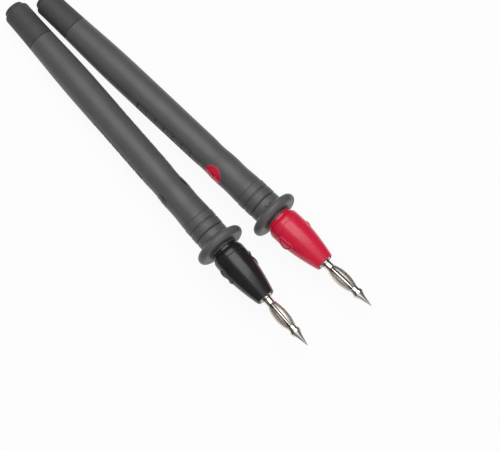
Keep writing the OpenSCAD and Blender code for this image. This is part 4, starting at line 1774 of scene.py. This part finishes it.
@dataclass
class Studio:
    """Camera, pale floor, one soft lamp and a tent for reflections. Sizes in metres."""

    azimuth_deg: float = 47.37
    elevation_deg: float = 74.62
    distance: float = 0.6
    lens: float = 145.44
    target: Spot = (0.035, 0.0, 0.008)
    shift_right: float = -0.00256
    shift_up: float = 0.00504
    world_level: float = 0.40
    key_power: float = 2.8
    key_place: Spot = (-0.12, 0.12, 0.62)
    key_size: tuple[float, float] = (0.42, 0.70)
    floor_half: float = 6.0
    floor_colour: Rgba = (0.86, 0.86, 0.86, 1)
    floor_glow: float = 0.92
    dome_radius: float = 2.0
    dome_dark: float = 0.05
    dome_pale: float = 0.12
    dome_bright: float = 0.9
    # the dark floor cards, which paint a dark reflection of the floor on the metal
    apron_start: float = 0.035
    apron_near_height: float = 0.001
    apron_far_height: float = 0.02

    def build(self) -> None:
        """Makes everything that isn't the object."""
        bpy.context.scene.view_settings.view_transform = "Standard"
        self._camera()
        self._world()
        self._floor()
        self._dome()
        self._key()

    def _camera(self) -> None:
        """A long lens above the tips."""
        a, e = math.radians(self.azimuth_deg), math.radians(self.elevation_deg)
        back = Vector((math.sin(a) * math.cos(e), -math.cos(a) * math.cos(e), math.sin(e)))
        turn = (-back).to_track_quat("-Z", "Y")
        aim = (Vector(self.target) + turn @ Vector((1, 0, 0)) * self.shift_right
               + turn @ Vector((0, 1, 0)) * self.shift_up)
        data = bpy.data.cameras.new("camera")
        data.sensor_width, data.sensor_fit, data.lens = 36.0, "HORIZONTAL", self.lens
        data.clip_start, data.clip_end = 0.01, 50.0
        camera = put_in_scene("camera", data)
        camera.rotation_mode = "QUATERNION"
        camera.rotation_quaternion = turn
        camera.location = aim + back * self.distance
        bpy.context.scene.camera = camera
        LOG.info("camera %.0f mm lens, %.2f m away", data.lens, self.distance)

    def _world(self) -> None:
        """Dim all-round light that shows as white behind the object."""
        world = bpy.data.worlds.new("studio")
        bpy.context.scene.world = world
        world.use_nodes = True
        c = NodeCanvas(world.node_tree)
        background = world.node_tree.nodes["Background"]
        background.inputs["Color"].default_value = WHITE
        c.feed(background.inputs["Strength"],
               c.math("MULTIPLY_ADD", self._seen(c), 1.0 - self.world_level, self.world_level))

    @staticmethod
    def _seen(c: NodeCanvas) -> bpy.types.NodeSocket:
        """1 for rays from the camera, mirrors and glass, and 0 for those that light.

        Args:
            c: the canvas of the world or of a stage material.

        Returns:
            The mask.
        """
        path = c.add("ShaderNodeLightPath")
        seen = c.math("MAXIMUM", path.outputs["Is Camera Ray"], path.outputs["Is Glossy Ray"])
        return c.math("MAXIMUM", seen, path.outputs["Is Transmission Ray"])

    def _floor(self) -> None:
        """A wide pale floor that looks white and keeps a soft shadow."""
        mesh = bpy.data.meshes.new("floor")
        half = self.floor_half
        mesh.from_pydata([(-half, -half, 0), (half, -half, 0), (half, half, 0), (-half, half, 0)],
                         [], [(0, 1, 2, 3)])
        floor = put_in_scene("floor", mesh)
        material, c, surface = glowing_stage("floor")
        diffuse = c.add("ShaderNodeBsdfDiffuse", {"Color": self.floor_colour})
        glow = c.add("ShaderNodeEmission", {"Color": WHITE, "Strength": 1.0})
        share = c.math("MULTIPLY", self._seen(c), self.floor_glow)
        mix = c.add("ShaderNodeMixShader", {0: share, 1: diffuse.outputs[0], 2: glow.outputs[0]})
        c.feed(surface, mix.outputs[0])
        dress(mesh, material)

    def _dome(self) -> None:
        """A dark tent with a card on the floor at each side, which only reflections see; the cards
        give the metal a painted dark reflection of the floor at its sides.
        """
        size = self.dome_radius
        tent = bmesh.new()
        bmesh.ops.create_uvsphere(tent, u_segments=48, v_segments=24, radius=size)
        below = [v for v in tent.verts if v.co.z < -0.001]
        bmesh.ops.delete(tent, geom=below, context="VERTS")
        low, high = self.apron_near_height, self.apron_far_height
        for side in (1, -1):
            near, far = side * self.apron_start, side * size
            card = [(-size, near, low), (size, near, low), (size, far, high), (-size, far, high)]
            tent.faces.new([tent.verts.new(corner) for corner in card])
        mesh = bpy.data.meshes.new("dome")
        tent.to_mesh(mesh)
        tent.free()
        dome = put_in_scene("dome", mesh)
        dome.visible_camera = dome.visible_diffuse = dome.visible_shadow = False
        dome.visible_transmission = dome.visible_volume_scatter = False
        dress(mesh, self._dome_glow())

    def _dome_glow(self) -> bpy.types.Material:
        """The tent's shades: nearly black, with one bright patch in front of the tips.

        Returns:
            The material.
        """
        size = self.dome_radius
        material, c, surface = glowing_stage("dome")
        place = c.add("ShaderNodeTexCoord")
        split = c.add("ShaderNodeSeparateXYZ", {0: place.outputs["Object"]})
        near = c.ramp(split.outputs["Y"], 0.1, -0.5 * size, self.dome_dark, self.dome_pale)
        ahead = c.ramp(split.outputs["X"], 0.05 * size, 0.28 * size, 0.0, self.dome_bright)
        side = c.math("ABSOLUTE", c.math("ADD", split.outputs["Y"], 0.1 * size))
        band = c.ramp(side, 0.22 * size, 0.42 * size, 1.0, self.dome_pale)
        strength = c.math("MULTIPLY_ADD", ahead, band, near)
        glow = c.add("ShaderNodeEmission", {"Color": WHITE, "Strength": strength})
        c.feed(surface, glow.outputs[0])
        return material

    def _key(self) -> None:
        """One wide soft box that faces straight down, a little to the rear and the far side."""
        data = bpy.data.lights.new("key", "AREA")
        data.shape = "RECTANGLE"
        data.size, data.size_y = self.key_size
        data.energy = self.key_power
        put_in_scene("key", data).location = self.key_place


def main() -> None:
    """Builds the studio, then each probe from its tip to its handle."""
    logging.basicConfig(level=logging.INFO, format="%(name)s %(message)s")
    Studio().build()
    effects = Effects()
    probes = [(ProbePlace(ProbeColour.RED, -71.0), 11.0),
              (ProbePlace(ProbeColour.BLACK, -94.0), 28.0)]
    for place, spring_turn in probes:
        finishes = Finishes(effects, place)
        for assembly in (LanternTip(place, finishes, spring_turn), NoseShroud(place, finishes),
                         TwistCollar(place, finishes), Handle(place, finishes)):
            assembly.build()
            LOG.info("%s %s is ready", place.colour.value, type(assembly).__name__)


if __name__ == "__main__":
    main()
